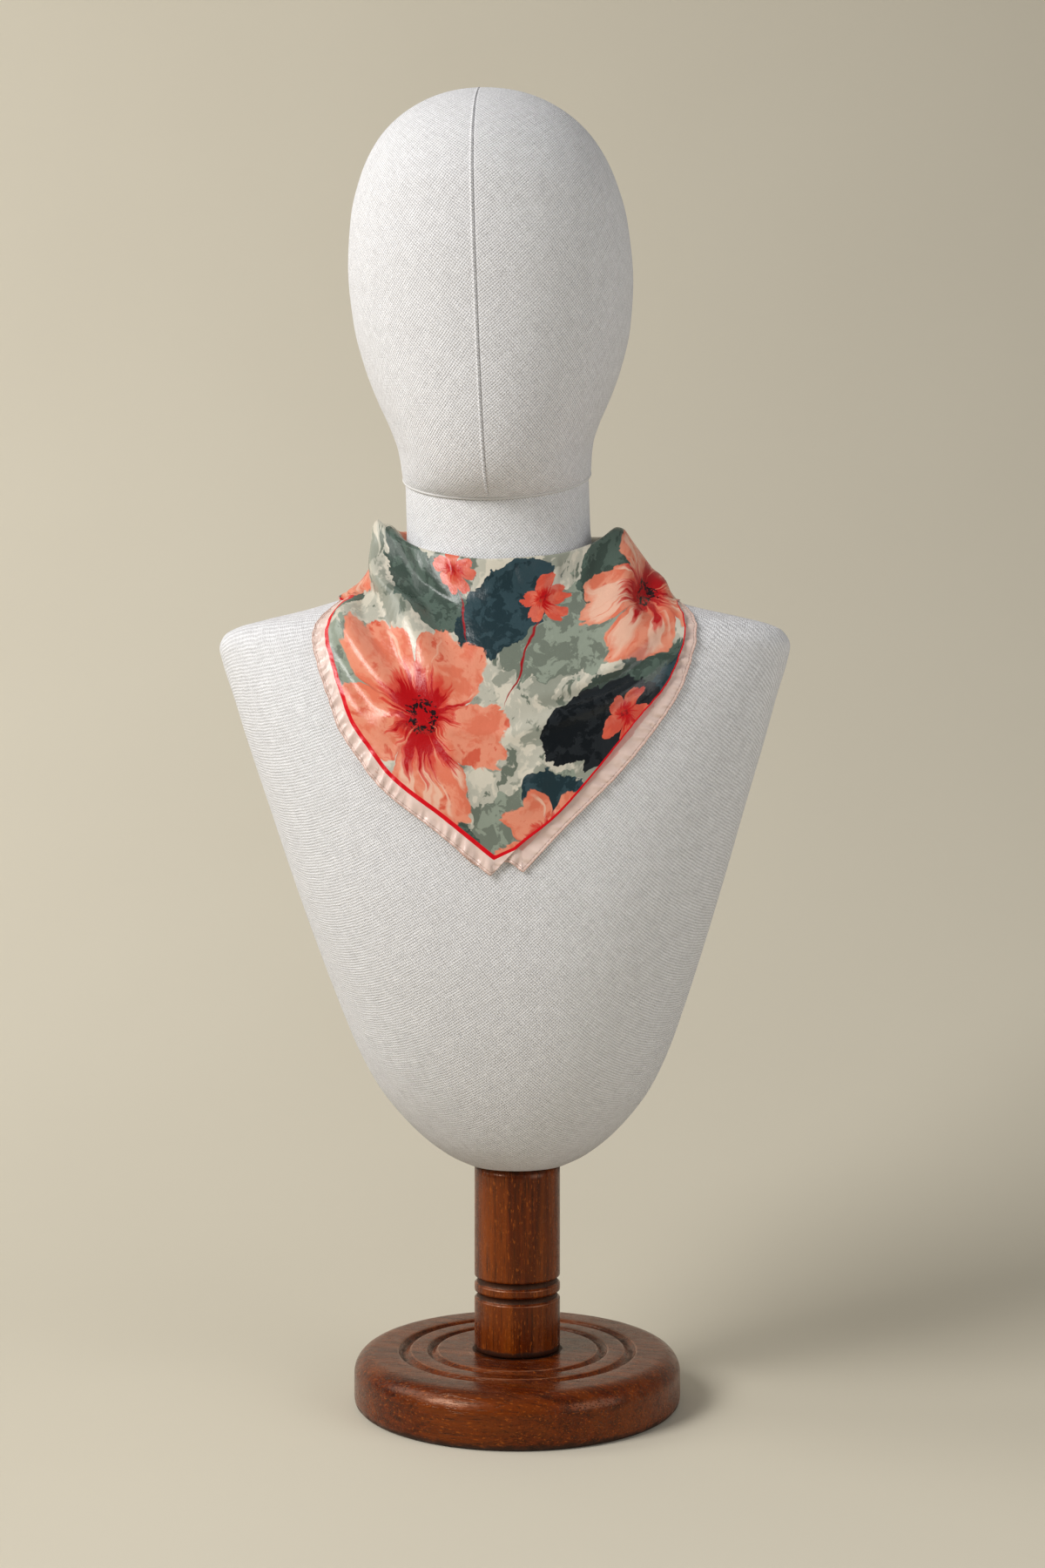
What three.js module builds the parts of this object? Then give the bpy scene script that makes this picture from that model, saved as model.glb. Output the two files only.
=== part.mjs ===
// A small silk square, folded corner to corner and tied round the neck of a linen-covered head
// and shoulder form, which stands on a turned wooden post and a round base.
// Millimetres, +Z up, the floor at z = 0, the front of the form towards -Y.

import * as THREE from 'three';

const degree = Math.PI / 180;

// Driving sizes of the stand
const baseRadius = 88.5;
const baseHeight = 28;
const baseBevel = 11;
const baseFootBevel = 3.5;
const postRadius = 23.3;
const postTop = 129;
const seamGap = 0.35;

// Driving sizes of the form
const formLean = 1.7 * degree;
const formBottom = postTop + seamGap;
const neckRadius = 50;
const seamHeight = 504;
const seamDip = 0.39;

// Driving sizes of the scarf
const wall = 1.2;
const clothGap = 0.42;
const layerGap = 0.8;
const underLay = clothGap + wall / 2;
const upperLay = underLay + wall + layerGap;
const neckFoot = 470;
const turnIn = 13;
const bandEnd = 167;
const underEnd = 112;
const upperCorner = 0;
const underCorner = 10;

// How many columns of faces each piece gets; the form's and the cloth's stand closer together at
// the shoulders, where the outline turns fastest.
const formColumns = 40;
const baseColumns = 48;
const postColumns = 32;
const crowding = 0.14;
const layRows = 9;
const underRows = 9;

// Level sections of the neck and shoulders, from the seam under the head down to the flat bottom:
// z on the axis, half-width, depth to the front, depth to the back, how full the outline is across
// and along (2 and 2 is an ellipse), and how far the section dips to the front.
const bustSections = [
  { z: seamHeight, side: neckRadius, front: 50, back: 50, across: 2, along: 2, dip: seamDip },
  { z: 492, side: neckRadius, front: 50, back: 50, across: 2, along: 2, dip: 0.3 },
  { z: 478, side: neckRadius, front: 50, back: 50, across: 2, along: 2, dip: 0.18 },
  { z: 466, side: 50.6, front: 50.4, back: 50.6, across: 2, along: 2, dip: 0.08 },
  { z: 456, side: 53.5, front: 51.4, back: 51.8, across: 2, along: 2, dip: 0 },
  { z: 447, side: 63, front: 53, back: 53.4, across: 1.75, along: 2, dip: 0 },
  { z: 438, side: 82, front: 55.4, back: 55, across: 1.5, along: 2, dip: 0 },
  { z: 430.5, side: 107, front: 58.4, back: 57, across: 1.4, along: 2, dip: 0 },
  { z: 425, side: 131, front: 61.2, back: 59, across: 1.45, along: 2, dip: 0 },
  { z: 421, side: 146, front: 63.4, back: 60.4, across: 1.55, along: 2, dip: 0 },
  { z: 417, side: 153, front: 65.6, back: 61.8, across: 1.65, along: 2, dip: 0 },
  { z: 410, side: 156, front: 69, back: 63.8, across: 1.85, along: 2, dip: 0 },
  { z: 401, side: 154, front: 73, back: 66, across: 2, along: 2, dip: 0 },
  { z: 383, side: 148, front: 79.6, back: 69, across: 2.2, along: 2.1, dip: 0 },
  { z: 360, side: 141, front: 85.4, back: 71, across: 2.25, along: 2.15, dip: 0 },
  { z: 326, side: 130, front: 90, back: 72, across: 2.25, along: 2.2, dip: 0 },
  { z: 288, side: 118, front: 91, back: 70, across: 2.2, along: 2.2, dip: 0 },
  { z: 250, side: 105.5, front: 88, back: 66, across: 2.15, along: 2.15, dip: 0 },
  { z: 217, side: 94, front: 81, back: 60, across: 2.1, along: 2.1, dip: 0 },
  { z: 190, side: 83.5, front: 72, back: 55, across: 2.1, along: 2.1, dip: 0 },
  { z: 170, side: 73, front: 63, back: 49.5, across: 2.05, along: 2.05, dip: 0 },
  { z: 154, side: 60.5, front: 53.5, back: 43.5, across: 2, along: 2, dip: 0 },
  { z: 142, side: 48, front: 44, back: 37.5, across: 2, along: 2, dip: 0 },
  { z: 134, side: 36.5, front: 34.5, back: 31.5, across: 2, along: 2, dip: 0 },
  { z: 130.4, side: 29, front: 28.4, back: 27.6, across: 2, along: 2, dip: 0 },
  { z: formBottom, side: 26.5, front: 26.2, back: 26, across: 2, along: 2, dip: 0 },
];

// Sections of the head, from the neck seam up to the crown, in the same columns
const headSections = [
  { z: seamHeight + seamGap, side: 51.2, front: 51.4, back: 51.2, across: 2, along: 2, dip: seamDip },
  { z: 507.5, side: 51.6, front: 56.5, back: 52.6, across: 2, along: 2, dip: 0.38 },
  { z: 513, side: 52, front: 63, back: 55.6, across: 2, along: 2, dip: 0.36 },
  { z: 521, side: 53.2, front: 69.5, back: 61, across: 2, along: 2, dip: 0.32 },
  { z: 531, side: 56.7, front: 74.5, back: 68, across: 2, along: 2, dip: 0.27 },
  { z: 545, side: 63.2, front: 79, back: 77, across: 2, along: 2, dip: 0.2 },
  { z: 562, side: 69.6, front: 82.6, back: 85.6, across: 2, along: 2, dip: 0.13 },
  { z: 585, side: 75.2, front: 86, back: 93, across: 2, along: 2, dip: 0.06 },
  { z: 612, side: 77.4, front: 88.6, back: 96, across: 2, along: 2, dip: 0.02 },
  { z: 639, side: 75.4, front: 87.4, back: 92.6, across: 2, along: 2, dip: 0 },
  { z: 661, side: 70, front: 81, back: 83.4, across: 2, along: 2, dip: 0 },
  { z: 680, side: 61, front: 68.6, back: 69, across: 2, along: 2, dip: 0 },
  { z: 694.4, side: 48, front: 52, back: 52, across: 2, along: 2, dip: 0 },
  { z: 704, side: 32, front: 34, back: 34, across: 2, along: 2, dip: 0 },
  { z: 708.6, side: 15.6, front: 16, back: 16, across: 2, along: 2, dip: 0 },
];
const crown = 710.2;

// The neck edge of the scarf round the form, the front at 0 degrees and the viewer's right at 90:
// how far the fold stands off the neck, the height of its crest, the radius of the fold itself,
// where the outer layer leaves the form (mm down the form from neckFoot), how many degrees it
// slants out below the crest, and how straight it goes from the form to the crest, 1 for straight.
const neckEdge = [
  { at: -167, off: 0.6, z: 473, roll: 1.5, lift: 14, slant: 5, bridge: 0 },
  { at: -145, off: 2.6, z: 481, roll: 2, lift: 22, slant: 6, bridge: 0.2 },
  { at: -125, off: 4.6, z: 478.5, roll: 2.4, lift: 34, slant: 4, bridge: 0.4 },
  { at: -108, off: 6.4, z: 476, roll: 3.2, lift: 46, slant: 0, bridge: 0.5 },
  { at: -95, off: 7, z: 478.3, roll: 4, lift: 52, slant: -5, bridge: 0.5 },
  { at: -80, off: 6.2, z: 476.6, roll: 4, lift: 54, slant: -5, bridge: 0.5 },
  { at: -62, off: 2.6, z: 467, roll: 3, lift: 48, slant: 10, bridge: 0.3 },
  { at: -45, off: 1, z: 460.5, roll: 2.2, lift: 47, slant: 13, bridge: 0.1 },
  { at: -32, off: 0.8, z: 457, roll: 1.7, lift: 46, slant: 14, bridge: 0 },
  { at: 0, off: 0.3, z: 452, roll: 1.5, lift: 44, slant: 12, bridge: 0 },
  { at: 32, off: 0.8, z: 454.5, roll: 1.7, lift: 46, slant: 16, bridge: 0 },
  { at: 60, off: 3.6, z: 462, roll: 2.6, lift: 54, slant: 28, bridge: 0.6 },
  { at: 80, off: 10.6, z: 471, roll: 3.4, lift: 64, slant: 36, bridge: 1 },
  { at: 95, off: 12.2, z: 473, roll: 3.4, lift: 64, slant: 36, bridge: 1 },
  { at: 110, off: 9, z: 472.6, roll: 3.2, lift: 58, slant: 28, bridge: 0.9 },
  { at: 125, off: 5.6, z: 473.6, roll: 2.6, lift: 44, slant: 16, bridge: 0.5 },
  { at: 145, off: 3, z: 476.4, roll: 2, lift: 26, slant: 6, bridge: 0.2 },
  { at: 167, off: 0.6, z: 473, roll: 1.5, lift: 14, slant: 5, bridge: 0 },
];

// How far each layer reaches down the form from neckFoot, in mm along its surface
const upperHem = [
  { at: -167, reach: 23 },
  { at: -145, reach: 34 },
  { at: -120, reach: 50 },
  { at: -106, reach: 57 },
  { at: -90, reach: 60 },
  { at: -80, reach: 58 },
  { at: -69, reach: 58 },
  { at: -64, reach: 72 },
  { at: -60, reach: 86 },
  { at: -55, reach: 98 },
  { at: -50, reach: 111 },
  { at: -46, reach: 124 },
  { at: -40, reach: 136 },
  { at: -34, reach: 147 },
  { at: -17, reach: 166 },
  { at: upperCorner, reach: 187 },
  { at: 9, reach: 173 },
  { at: 20, reach: 160 },
  { at: 33, reach: 139 },
  { at: 45, reach: 119 },
  { at: 54, reach: 107 },
  { at: 61, reach: 93 },
  { at: 66.5, reach: 80 },
  { at: 72, reach: 70 },
  { at: 80, reach: 63 },
  { at: 90, reach: 65 },
  { at: 106, reach: 60 },
  { at: 120, reach: 50 },
  { at: 145, reach: 34 },
  { at: 167, reach: 23 },
];
const underHem = [
  { at: -112, reach: 52 },
  { at: -90, reach: 57 },
  { at: -69, reach: 54 },
  { at: -60, reach: 80 },
  { at: -50, reach: 105 },
  { at: -46, reach: 118 },
  { at: -34, reach: 142 },
  { at: -17, reach: 163 },
  { at: -8, reach: 178 },
  { at: -4, reach: 182 },
  { at: 5, reach: 180 },
  { at: underCorner, reach: 185.5 },
  { at: 23, reach: 165 },
  { at: 40, reach: 141 },
  { at: 51, reach: 123 },
  { at: 56, reach: 114 },
  { at: 62, reach: 100 },
  { at: 66.5, reach: 89 },
  { at: 74, reach: 75 },
  { at: 82, reach: 67 },
  { at: 92, reach: 68 },
  { at: 112, reach: 56 },
];

// The main folds, as soft ridges: from one place on the form to another, in degrees round and in
// mm down from neckFoot, with the ridge's half-width and height. ridgeArc is how far a degree is
// taken to be on the cloth.
const ridgeArc = 1.4;
const ridges = [
  { from: -80, down: 8, to: -52, end: 84, width: 9, height: 3.2 },
  { from: 84, down: 10, to: 66, end: 76, width: 9, height: 2.6 },
  { from: -92, down: 66, to: -34, end: 120, width: 9, height: 2.2 },
  { from: 62, down: 96, to: 14, end: 118, width: 10, height: 2 },
];

// The two ends below the knot: where each leaves the knot and where its point lies, in degrees
// round the form and in height, and their width and the depth of their pleats at the widest.
const tailWidth = 38;
const tailPleat = 1.3;
const tailNarrows = 0.86;
const tails = [
  { name: 'scarf_tail_left', from: -174, to: -147, tip: 366 },
  { name: 'scarf_tail_right', from: 174, to: 155, tip: 376 },
];

const knotCentre = { y: 61.2, z: 461 };
const knotHalf = { x: 12.6, y: 9, z: 12 };

// Reads one column of a table at any place, along a cubic curve that never overshoots its rows
function read(rows, key, column, at) {
  const last = rows.length - 1;
  if (at <= rows[0][key]) return rows[0][column];
  if (at >= rows[last][key]) return rows[last][column];
  let i = 0;
  while (at > rows[i + 1][key]) i += 1;
  const slope = (k) => (rows[k + 1][column] - rows[k][column]) / (rows[k + 1][key] - rows[k][key]);
  const tangent = (k) => {
    if (k === 0) return slope(0);
    if (k === last) return slope(last - 1);
    const before = slope(k - 1);
    const after = slope(k);
    return before * after <= 0 ? 0 : (2 * before * after) / (before + after);
  };
  const step = rows[i + 1][key] - rows[i][key];
  const t = (at - rows[i][key]) / step;
  const t2 = t * t;
  const t3 = t2 * t;
  return (2 * t3 - 3 * t2 + 1) * rows[i][column] + (t3 - 2 * t2 + t) * step * tangent(i)
    + (3 * t2 - 2 * t3) * rows[i + 1][column] + (t3 - t2) * step * tangent(i + 1);
}

// Radius of one section in the direction phi
function sectionRadius(row, phi) {
  const depth = Math.cos(phi) > 0 ? row.front : row.back;
  const across = Math.abs(Math.sin(phi)) / row.side;
  const along = Math.abs(Math.cos(phi)) / depth;
  let radius = 1 / Math.hypot(across, along);
  for (let k = 0; k < 8; k += 1) {
    const a = (radius * across) ** row.across;
    const b = (radius * along) ** row.along;
    radius -= (radius * (a + b - 1)) / (row.across * a + row.along * b);
  }
  return radius;
}

// The row part-way between two rows of a section table
function sectionAt(sections, t) {
  const rows = sections.map((row, index) => ({ ...row, index }));
  const row = {};
  for (const column of ['z', 'side', 'front', 'back', 'across', 'along', 'dip']) {
    row[column] = read(rows, 'index', column, t);
  }
  return row;
}

// A place given by its direction round the axis, its radius and its height, on the leaning form
function onForm(phi, radius, z) {
  const sway = Math.tan(formLean) * (z - formBottom);
  return new THREE.Vector3(radius * Math.sin(phi) - sway, -radius * Math.cos(phi), z);
}

function ring(row, columns) {
  const points = [];
  for (let i = 0; i < columns; i += 1) {
    const phi = crowd((2 * Math.PI * i) / columns);
    const radius = sectionRadius(row, phi);
    points.push(onForm(phi, radius, row.z - row.dip * radius * Math.cos(phi)));
  }
  return points;
}

// Moves evenly spaced directions closer together at the two shoulders
function crowd(phi) {
  return phi + crowding * Math.sin(2 * phi);
}

// The directions of a cloth's columns, in degrees, from one end to the other: the form's own
// columns and the ones midway, and one more through the corner.
function clothColumns(end, corner) {
  const apart = 2;
  const columns = [-end, corner, end];
  for (let k = -formColumns; k <= formColumns; k += 1) {
    const angle = crowd((Math.PI * k) / formColumns) / degree;
    if (Math.abs(angle) < end - apart && Math.abs(angle - corner) > apart) columns.push(angle);
  }
  return columns.sort((a, b) => a - b);
}

// A closed solid through rings that run upwards, with a point at the middle of each end
function loft(rings, bottom, top) {
  const columns = rings[0].length;
  const points = [...rings.flat(), bottom, top];
  const low = points.length - 2;
  const high = points.length - 1;
  const index = [];
  for (let i = 0; i < columns; i += 1) {
    const next = (i + 1) % columns;
    index.push(low, next, i);
    for (let j = 0; j < rings.length - 1; j += 1) {
      const a = j * columns;
      const b = a + columns;
      index.push(a + i, a + next, b + next, a + i, b + next, b + i);
    }
    const end = (rings.length - 1) * columns;
    index.push(high, end + i, end + next);
  }
  return solid(points, index);
}

function solid(points, index) {
  const geometry = new THREE.BufferGeometry().setFromPoints(points);
  geometry.setIndex(index);
  geometry.computeVertexNormals();
  return geometry;
}

// A wall of cloth round a grid of points: both faces, moved out along the grid's own normals, and
// the four edges. grid[i][j] runs round the form with i and upwards or onwards with j.
function clothWall(grid, thickness) {
  const columns = grid.length;
  const rows = grid[0].length;
  const at = (i, j) => grid[Math.min(Math.max(i, 0), columns - 1)][Math.min(Math.max(j, 0), rows - 1)];
  const outside = [];
  const inside = [];
  for (let i = 0; i < columns; i += 1) {
    for (let j = 0; j < rows; j += 1) {
      const across = at(i + 1, j).clone().sub(at(i - 1, j));
      const up = at(i, j + 1).clone().sub(at(i, j - 1));
      const normal = across.cross(up).normalize().multiplyScalar(thickness / 2);
      outside.push(grid[i][j].clone().add(normal));
      inside.push(grid[i][j].clone().sub(normal));
    }
  }
  const points = [...outside, ...inside];
  const back = outside.length;
  const index = [];
  const quad = (a, b, c, d) => index.push(a, b, c, a, c, d);
  const id = (i, j) => i * rows + j;
  for (let i = 0; i < columns - 1; i += 1) {
    for (let j = 0; j < rows - 1; j += 1) {
      quad(id(i, j), id(i + 1, j), id(i + 1, j + 1), id(i, j + 1));
      quad(back + id(i, j), back + id(i, j + 1), back + id(i + 1, j + 1), back + id(i + 1, j));
    }
    quad(id(i, 0), back + id(i, 0), back + id(i + 1, 0), id(i + 1, 0));
    const top = rows - 1;
    quad(id(i, top), id(i + 1, top), back + id(i + 1, top), back + id(i, top));
  }
  for (let j = 0; j < rows - 1; j += 1) {
    const end = columns - 1;
    quad(id(0, j), id(0, j + 1), back + id(0, j + 1), back + id(0, j));
    quad(id(end, j), back + id(end, j), back + id(end, j + 1), id(end, j + 1));
  }
  return solid(points, index);
}

// The neck and shoulders in thin level slices
const slicesPerRow = 6;
const slices = [];
for (let k = 0; k <= (bustSections.length - 1) * slicesPerRow; k += 1) {
  slices.push(sectionAt(bustSections, k / slicesPerRow));
}

// The form's outline in the upright half-plane at phi, from the seam down, as radius and height,
// with the distance down the surface counted from neckFoot.
function outlineAt(phi) {
  const outline = slices.map((row) => {
    const radius = sectionRadius(row, phi);
    return { radius, z: row.z - row.dip * radius * Math.cos(phi), down: 0 };
  });
  for (let k = 1; k < outline.length; k += 1) {
    const step = Math.hypot(outline[k].radius - outline[k - 1].radius, outline[k].z - outline[k - 1].z);
    outline[k].down = outline[k - 1].down + step;
  }
  const foot = outline.find((point) => point.z <= neckFoot).down;
  for (const point of outline) point.down -= foot;
  return outline;
}

// Radius of the form at a height, from the outline of one half-plane
function radiusAt(outline, z) {
  const k = Math.max(1, outline.findIndex((point) => point.z <= z));
  const t = (outline[k - 1].z - z) / (outline[k - 1].z - outline[k].z);
  return outline[k - 1].radius + (outline[k].radius - outline[k - 1].radius) * t;
}

// The form's outward direction at phi and height z
function normalAt(phi, z) {
  const small = 0.02;
  const radius = radiusAt(outlineAt(phi), z);
  const turnwise = (radiusAt(outlineAt(phi + small), z) - radiusAt(outlineAt(phi - small), z))
    / (2 * small * radius);
  const outline = outlineAt(phi);
  const rise = (radiusAt(outline, z + 1) - radiusAt(outline, z - 1)) / 2;
  const out = new THREE.Vector3(Math.sin(phi), -Math.cos(phi), 0);
  const round = new THREE.Vector3(Math.cos(phi), Math.sin(phi), 0);
  return out.addScaledVector(round, -turnwise).add(new THREE.Vector3(0, 0, -rise)).normalize();
}

// The place on the form a distance down the outline at phi, moved out by the given height
function layOn(phi, outline, down, height) {
  const radius = read(outline, 'down', 'radius', down);
  const z = read(outline, 'down', 'z', down);
  return onForm(phi, radius, z).addScaledVector(normalAt(phi, z), height);
}

// How far a place is out from the form, and the form's outward direction there
function heightOff(place) {
  const x = place.x + Math.tan(formLean) * (place.z - formBottom);
  const phi = Math.atan2(x, -place.y);
  const radius = Math.hypot(x, place.y);
  const gap = (point) => Math.hypot(radius - point.radius, place.z - point.z);
  const nearest = outlineAt(phi).reduce((best, point) => (gap(point) < gap(best) ? point : best));
  const normal = normalAt(phi, nearest.z);
  return { normal, height: place.clone().sub(onForm(phi, nearest.radius, nearest.z)).dot(normal) };
}

// Moves a place out until it is at least the given height from the form
function keepClear(place, height) {
  const off = heightOff(place);
  return place.clone().addScaledVector(off.normal, Math.max(0, height - off.height));
}

// Moves the corners of each face of a cloth's grid out until the face's middle is clear as well
function liftFaces(grid, rows, height) {
  for (let i = 0; i < grid.length - 1; i += 1) {
    for (let j = 0; j < rows; j += 1) {
      const corners = [grid[i][j], grid[i + 1][j], grid[i][j + 1], grid[i + 1][j + 1]];
      for (const [a, b] of [[0, 1], [0, 2], [0, 3], [1, 2]]) {
        const off = heightOff(corners[a].clone().lerp(corners[b], 0.5));
        const lift = Math.max(0, height - off.height);
        corners[a].addScaledVector(off.normal, lift);
        corners[b].addScaledVector(off.normal, lift);
      }
    }
  }
  return grid;
}

// Height that the folds add to the cloth at one place
function ridgeHeight(angle, down) {
  let height = 0;
  for (const ridge of ridges) {
    const along = { x: (ridge.to - ridge.from) * ridgeArc, y: ridge.end - ridge.down };
    const from = { x: (angle - ridge.from) * ridgeArc, y: down - ridge.down };
    const length = Math.hypot(along.x, along.y);
    const t = (from.x * along.x + from.y * along.y) / length ** 2;
    if (t < 0 || t > 1) continue;
    const aside = Math.abs(from.x * along.y - from.y * along.x) / length;
    height += ridge.height * Math.sin(Math.PI * t) * Math.exp(-((aside / ridge.width) ** 2));
  }
  return height;
}

// One column of the outer layer: up from the hem on the form, off the form to the neck edge, over
// the rolled fold and down inside against the neck.
function upperColumn(angle) {
  const phi = angle * degree;
  const outline = outlineAt(phi);
  const edge = (column) => read(neckEdge, 'at', column, angle);
  const reach = read(upperHem, 'at', 'reach', angle);
  const roll = edge('roll');
  const bridge = edge('bridge');
  const lift = Math.min(edge('lift'), reach - 8 + 5.5 * bridge);
  const places = [];
  for (let j = 0; j <= layRows; j += 1) {
    const down = reach + ((lift - reach) * j) / layRows;
    places.push(layOn(phi, outline, down, upperLay + ridgeHeight(angle, down)));
  }
  const start = places[layRows];
  const before = layOn(phi, outline, lift + 1, upperLay + ridgeHeight(angle, lift + 1));
  const slant = edge('slant') * degree;
  const rollZ = edge('z') - roll;
  const middle = { radius: radiusAt(outline, rollZ) + underLay + roll + edge('off'), z: rollZ };
  const onRoll = (turn) => onForm(
    phi,
    middle.radius + roll * Math.cos(turn),
    middle.z + roll * Math.sin(turn),
  );
  const end = onRoll(slant);
  const pull = 1.05 * end.distanceTo(start);
  const straight = end.clone().sub(start).normalize();
  const leave = start.clone().sub(before).normalize().multiplyScalar(1 - bridge)
    .addScaledVector(straight, bridge).multiplyScalar(pull);
  const arrive = onRoll(slant + 0.01).sub(end).setLength(pull);
  const standRows = 5;
  for (let j = 1; j <= standRows; j += 1) {
    const t = j / standRows;
    const place = start.clone().multiplyScalar(2 * t ** 3 - 3 * t ** 2 + 1)
      .addScaledVector(leave, t ** 3 - 2 * t ** 2 + t)
      .addScaledVector(end, 3 * t ** 2 - 2 * t ** 3)
      .addScaledVector(arrive, t ** 3 - t ** 2);
    places.push(keepClear(place, upperLay));
  }
  const rollRows = 4;
  for (let j = 1; j <= rollRows; j += 1) places.push(onRoll(slant + ((Math.PI - slant) * j) / rollRows));
  const inRows = 2;
  for (let j = 1; j <= inRows; j += 1) {
    const place = onForm(phi, middle.radius - roll, middle.z - (turnIn * j) / inRows);
    places.push(keepClear(place, underLay));
  }
  return places;
}

// One column of the layer beneath, which lies on the form up to where the outer layer leaves it
function underColumn(angle) {
  const phi = angle * degree;
  const outline = outlineAt(phi);
  const reach = read(underHem, 'at', 'reach', angle);
  const top = Math.min(read(neckEdge, 'at', 'lift', angle), reach - 8);
  const column = [];
  for (let j = 0; j <= underRows; j += 1) {
    column.push(layOn(phi, outline, reach + ((top - reach) * j) / underRows, underLay));
  }
  return column;
}

// A free end of the scarf, lying down the back of the form in soft pleats, narrow at the knot,
// widest halfway down, and pointed at its corner.
function tailGrid(tail) {
  const lengthRows = 14;
  const widthRows = 8;
  const top = knotCentre.z - knotHalf.z - seamGap - wall / 2;
  const grid = [];
  for (let i = 0; i <= widthRows; i += 1) {
    const across = (2 * i) / widthRows - 1;
    const column = [];
    for (let j = 0; j <= lengthRows; j += 1) {
      const t = j / lengthRows;
      const z = tail.tip + (top - tail.tip) * t;
      const middle = (tail.to + (tail.from - tail.to) * t) * degree;
      const taper = 1 - tailNarrows * Math.max(0, (t - 0.45) / 0.55);
      const half = wall / 2 + (tailWidth / 2) * Math.min(1.3 * t, 1) * taper;
      const phi = middle + (across * half) / radiusAt(outlineAt(middle), z);
      const pleat = tailPleat * t * (1 + Math.cos(2.5 * Math.PI * across));
      const seat = onForm(phi, radiusAt(outlineAt(phi), z), z);
      column.push(seat.addScaledVector(normalAt(phi, z), underLay + pleat));
    }
    grid.push(column);
  }
  return grid;
}

// The knot: a rounded, slightly waisted lump of gathered cloth
function knotGeometry() {
  const rings = 9;
  const columns = 20;
  const squareness = 2.6;
  const list = [];
  for (let j = 0; j < rings; j += 1) {
    const rise = -Math.cos((Math.PI * (j + 0.6)) / (rings + 0.2));
    const width = (1 - Math.abs(rise) ** squareness) ** (1 / squareness);
    const points = [];
    for (let i = 0; i < columns; i += 1) {
      const phi = (2 * Math.PI * i) / columns;
      const outline = (Math.abs(Math.sin(phi)) ** squareness + Math.abs(Math.cos(phi)) ** squareness)
        ** (-1 / squareness);
      const x = knotHalf.x * width * outline * Math.sin(phi);
      const y = knotCentre.y - knotHalf.y * width * outline * Math.cos(phi);
      const z = knotCentre.z + knotHalf.z * rise;
      points.push(new THREE.Vector3(x - Math.tan(formLean) * (z - formBottom), y, z));
    }
    list.push(points);
  }
  const middle = (points) => points.reduce((sum, point) => sum.add(point), new THREE.Vector3())
    .divideScalar(points.length);
  return loft(list, middle(list[0]), middle(list[rings - 1]));
}

function bustGeometry() {
  const rings = [];
  for (let j = 0; j < bustSections.length; j += 1) {
    rings.push(ring(bustSections[j], formColumns));
    if (j >= 3 && j < 8) rings.push(ring(sectionAt(bustSections, j + 0.5), formColumns));
  }
  rings.reverse();
  return loft(rings, onForm(0, 0, formBottom), onForm(0, 0, seamHeight));
}

function headGeometry() {
  const rings = headSections.map((row) => ring(row, formColumns));
  return loft(rings, onForm(0, 0, seamHeight + seamGap), onForm(0, 0, crown));
}

// A turned piece from its outline, as radius and height pairs from the axis round to the axis
function turned(outline, columns) {
  return new THREE.LatheGeometry(outline.map(([r, z]) => new THREE.Vector2(r, z)), columns)
    .rotateX(Math.PI / 2);
}

// A quarter round between two radii and heights, as part of a turned outline
function quarter(centre, radius, fromAngle, toAngle, steps) {
  const points = [];
  for (let k = 0; k <= steps; k += 1) {
    const a = (fromAngle + ((toAngle - fromAngle) * k) / steps) * degree;
    points.push([centre[0] + radius * Math.cos(a), centre[1] + radius * Math.sin(a)]);
  }
  return points;
}

// A turned groove cut into the top of the base, from its outer lip in to its inner lip
function baseGroove(outer, inner) {
  const depth = 2.2;
  const top = baseHeight;
  return [[outer, top], [outer - 1.2, top - depth], [inner + 2.6, top - depth], [inner, top]];
}

function baseGeometry() {
  const outline = [
    [0, 0],
    [baseRadius - baseFootBevel, 0],
    [baseRadius, baseFootBevel],
    ...quarter([baseRadius - baseBevel, baseHeight - baseBevel], baseBevel, 0, 90, 5),
    ...baseGroove(64.8, 58.2),
    ...baseGroove(49.3, 43.6),
    [0, baseHeight],
  ];
  return turned(outline, baseColumns);
}

// The post, with two turned grooves a third of the way up
function postGeometry() {
  const foot = baseHeight + seamGap;
  const groove = (z) => [
    [postRadius, z - 2.4],
    [postRadius - 1.6, z - 1.2],
    [postRadius - 1.6, z + 1.2],
    [postRadius, z + 2.4],
  ];
  const outline = [
    [0, foot],
    [postRadius - 1, foot],
    [postRadius, foot + 2.2],
    ...groove(58.4),
    ...groove(66.4),
    [postRadius - 0.2, postTop],
    [0, postTop],
  ];
  return turned(outline, postColumns);
}

const linen = new THREE.MeshStandardMaterial({ color: 0xc9c7c5, roughness: 0.95, metalness: 0 });
const silk = new THREE.MeshStandardMaterial({ color: 0xd99a80, roughness: 0.4, metalness: 0 });
const wood = new THREE.MeshStandardMaterial({ color: 0x6a3219, roughness: 0.35, metalness: 0 });

function piece(name, geometry, material) {
  const mesh = new THREE.Mesh(geometry, material);
  mesh.name = name;
  return mesh;
}

const stand = new THREE.Group();
stand.add(piece('stand_base', baseGeometry(), wood));
stand.add(piece('stand_post', postGeometry(), wood));

const form = new THREE.Group();
form.add(piece('bust_form', bustGeometry(), linen));
form.add(piece('head_form', headGeometry(), linen));

const scarf = new THREE.Group();
const upperColumns = clothColumns(bandEnd, upperCorner).map(upperColumn);
const upperGrid = liftFaces(upperColumns, layRows + 2, upperLay);
const underColumns = clothColumns(underEnd, underCorner).map(underColumn);
const underGrid = liftFaces(underColumns, underRows, underLay);
scarf.add(piece('scarf_upper_layer', clothWall(upperGrid, wall), silk));
scarf.add(piece('scarf_under_layer', clothWall(underGrid, wall), silk));
scarf.add(piece('scarf_knot', knotGeometry(), silk));
for (const tail of tails) scarf.add(piece(tail.name, clothWall(tailGrid(tail), wall), silk));

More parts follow.
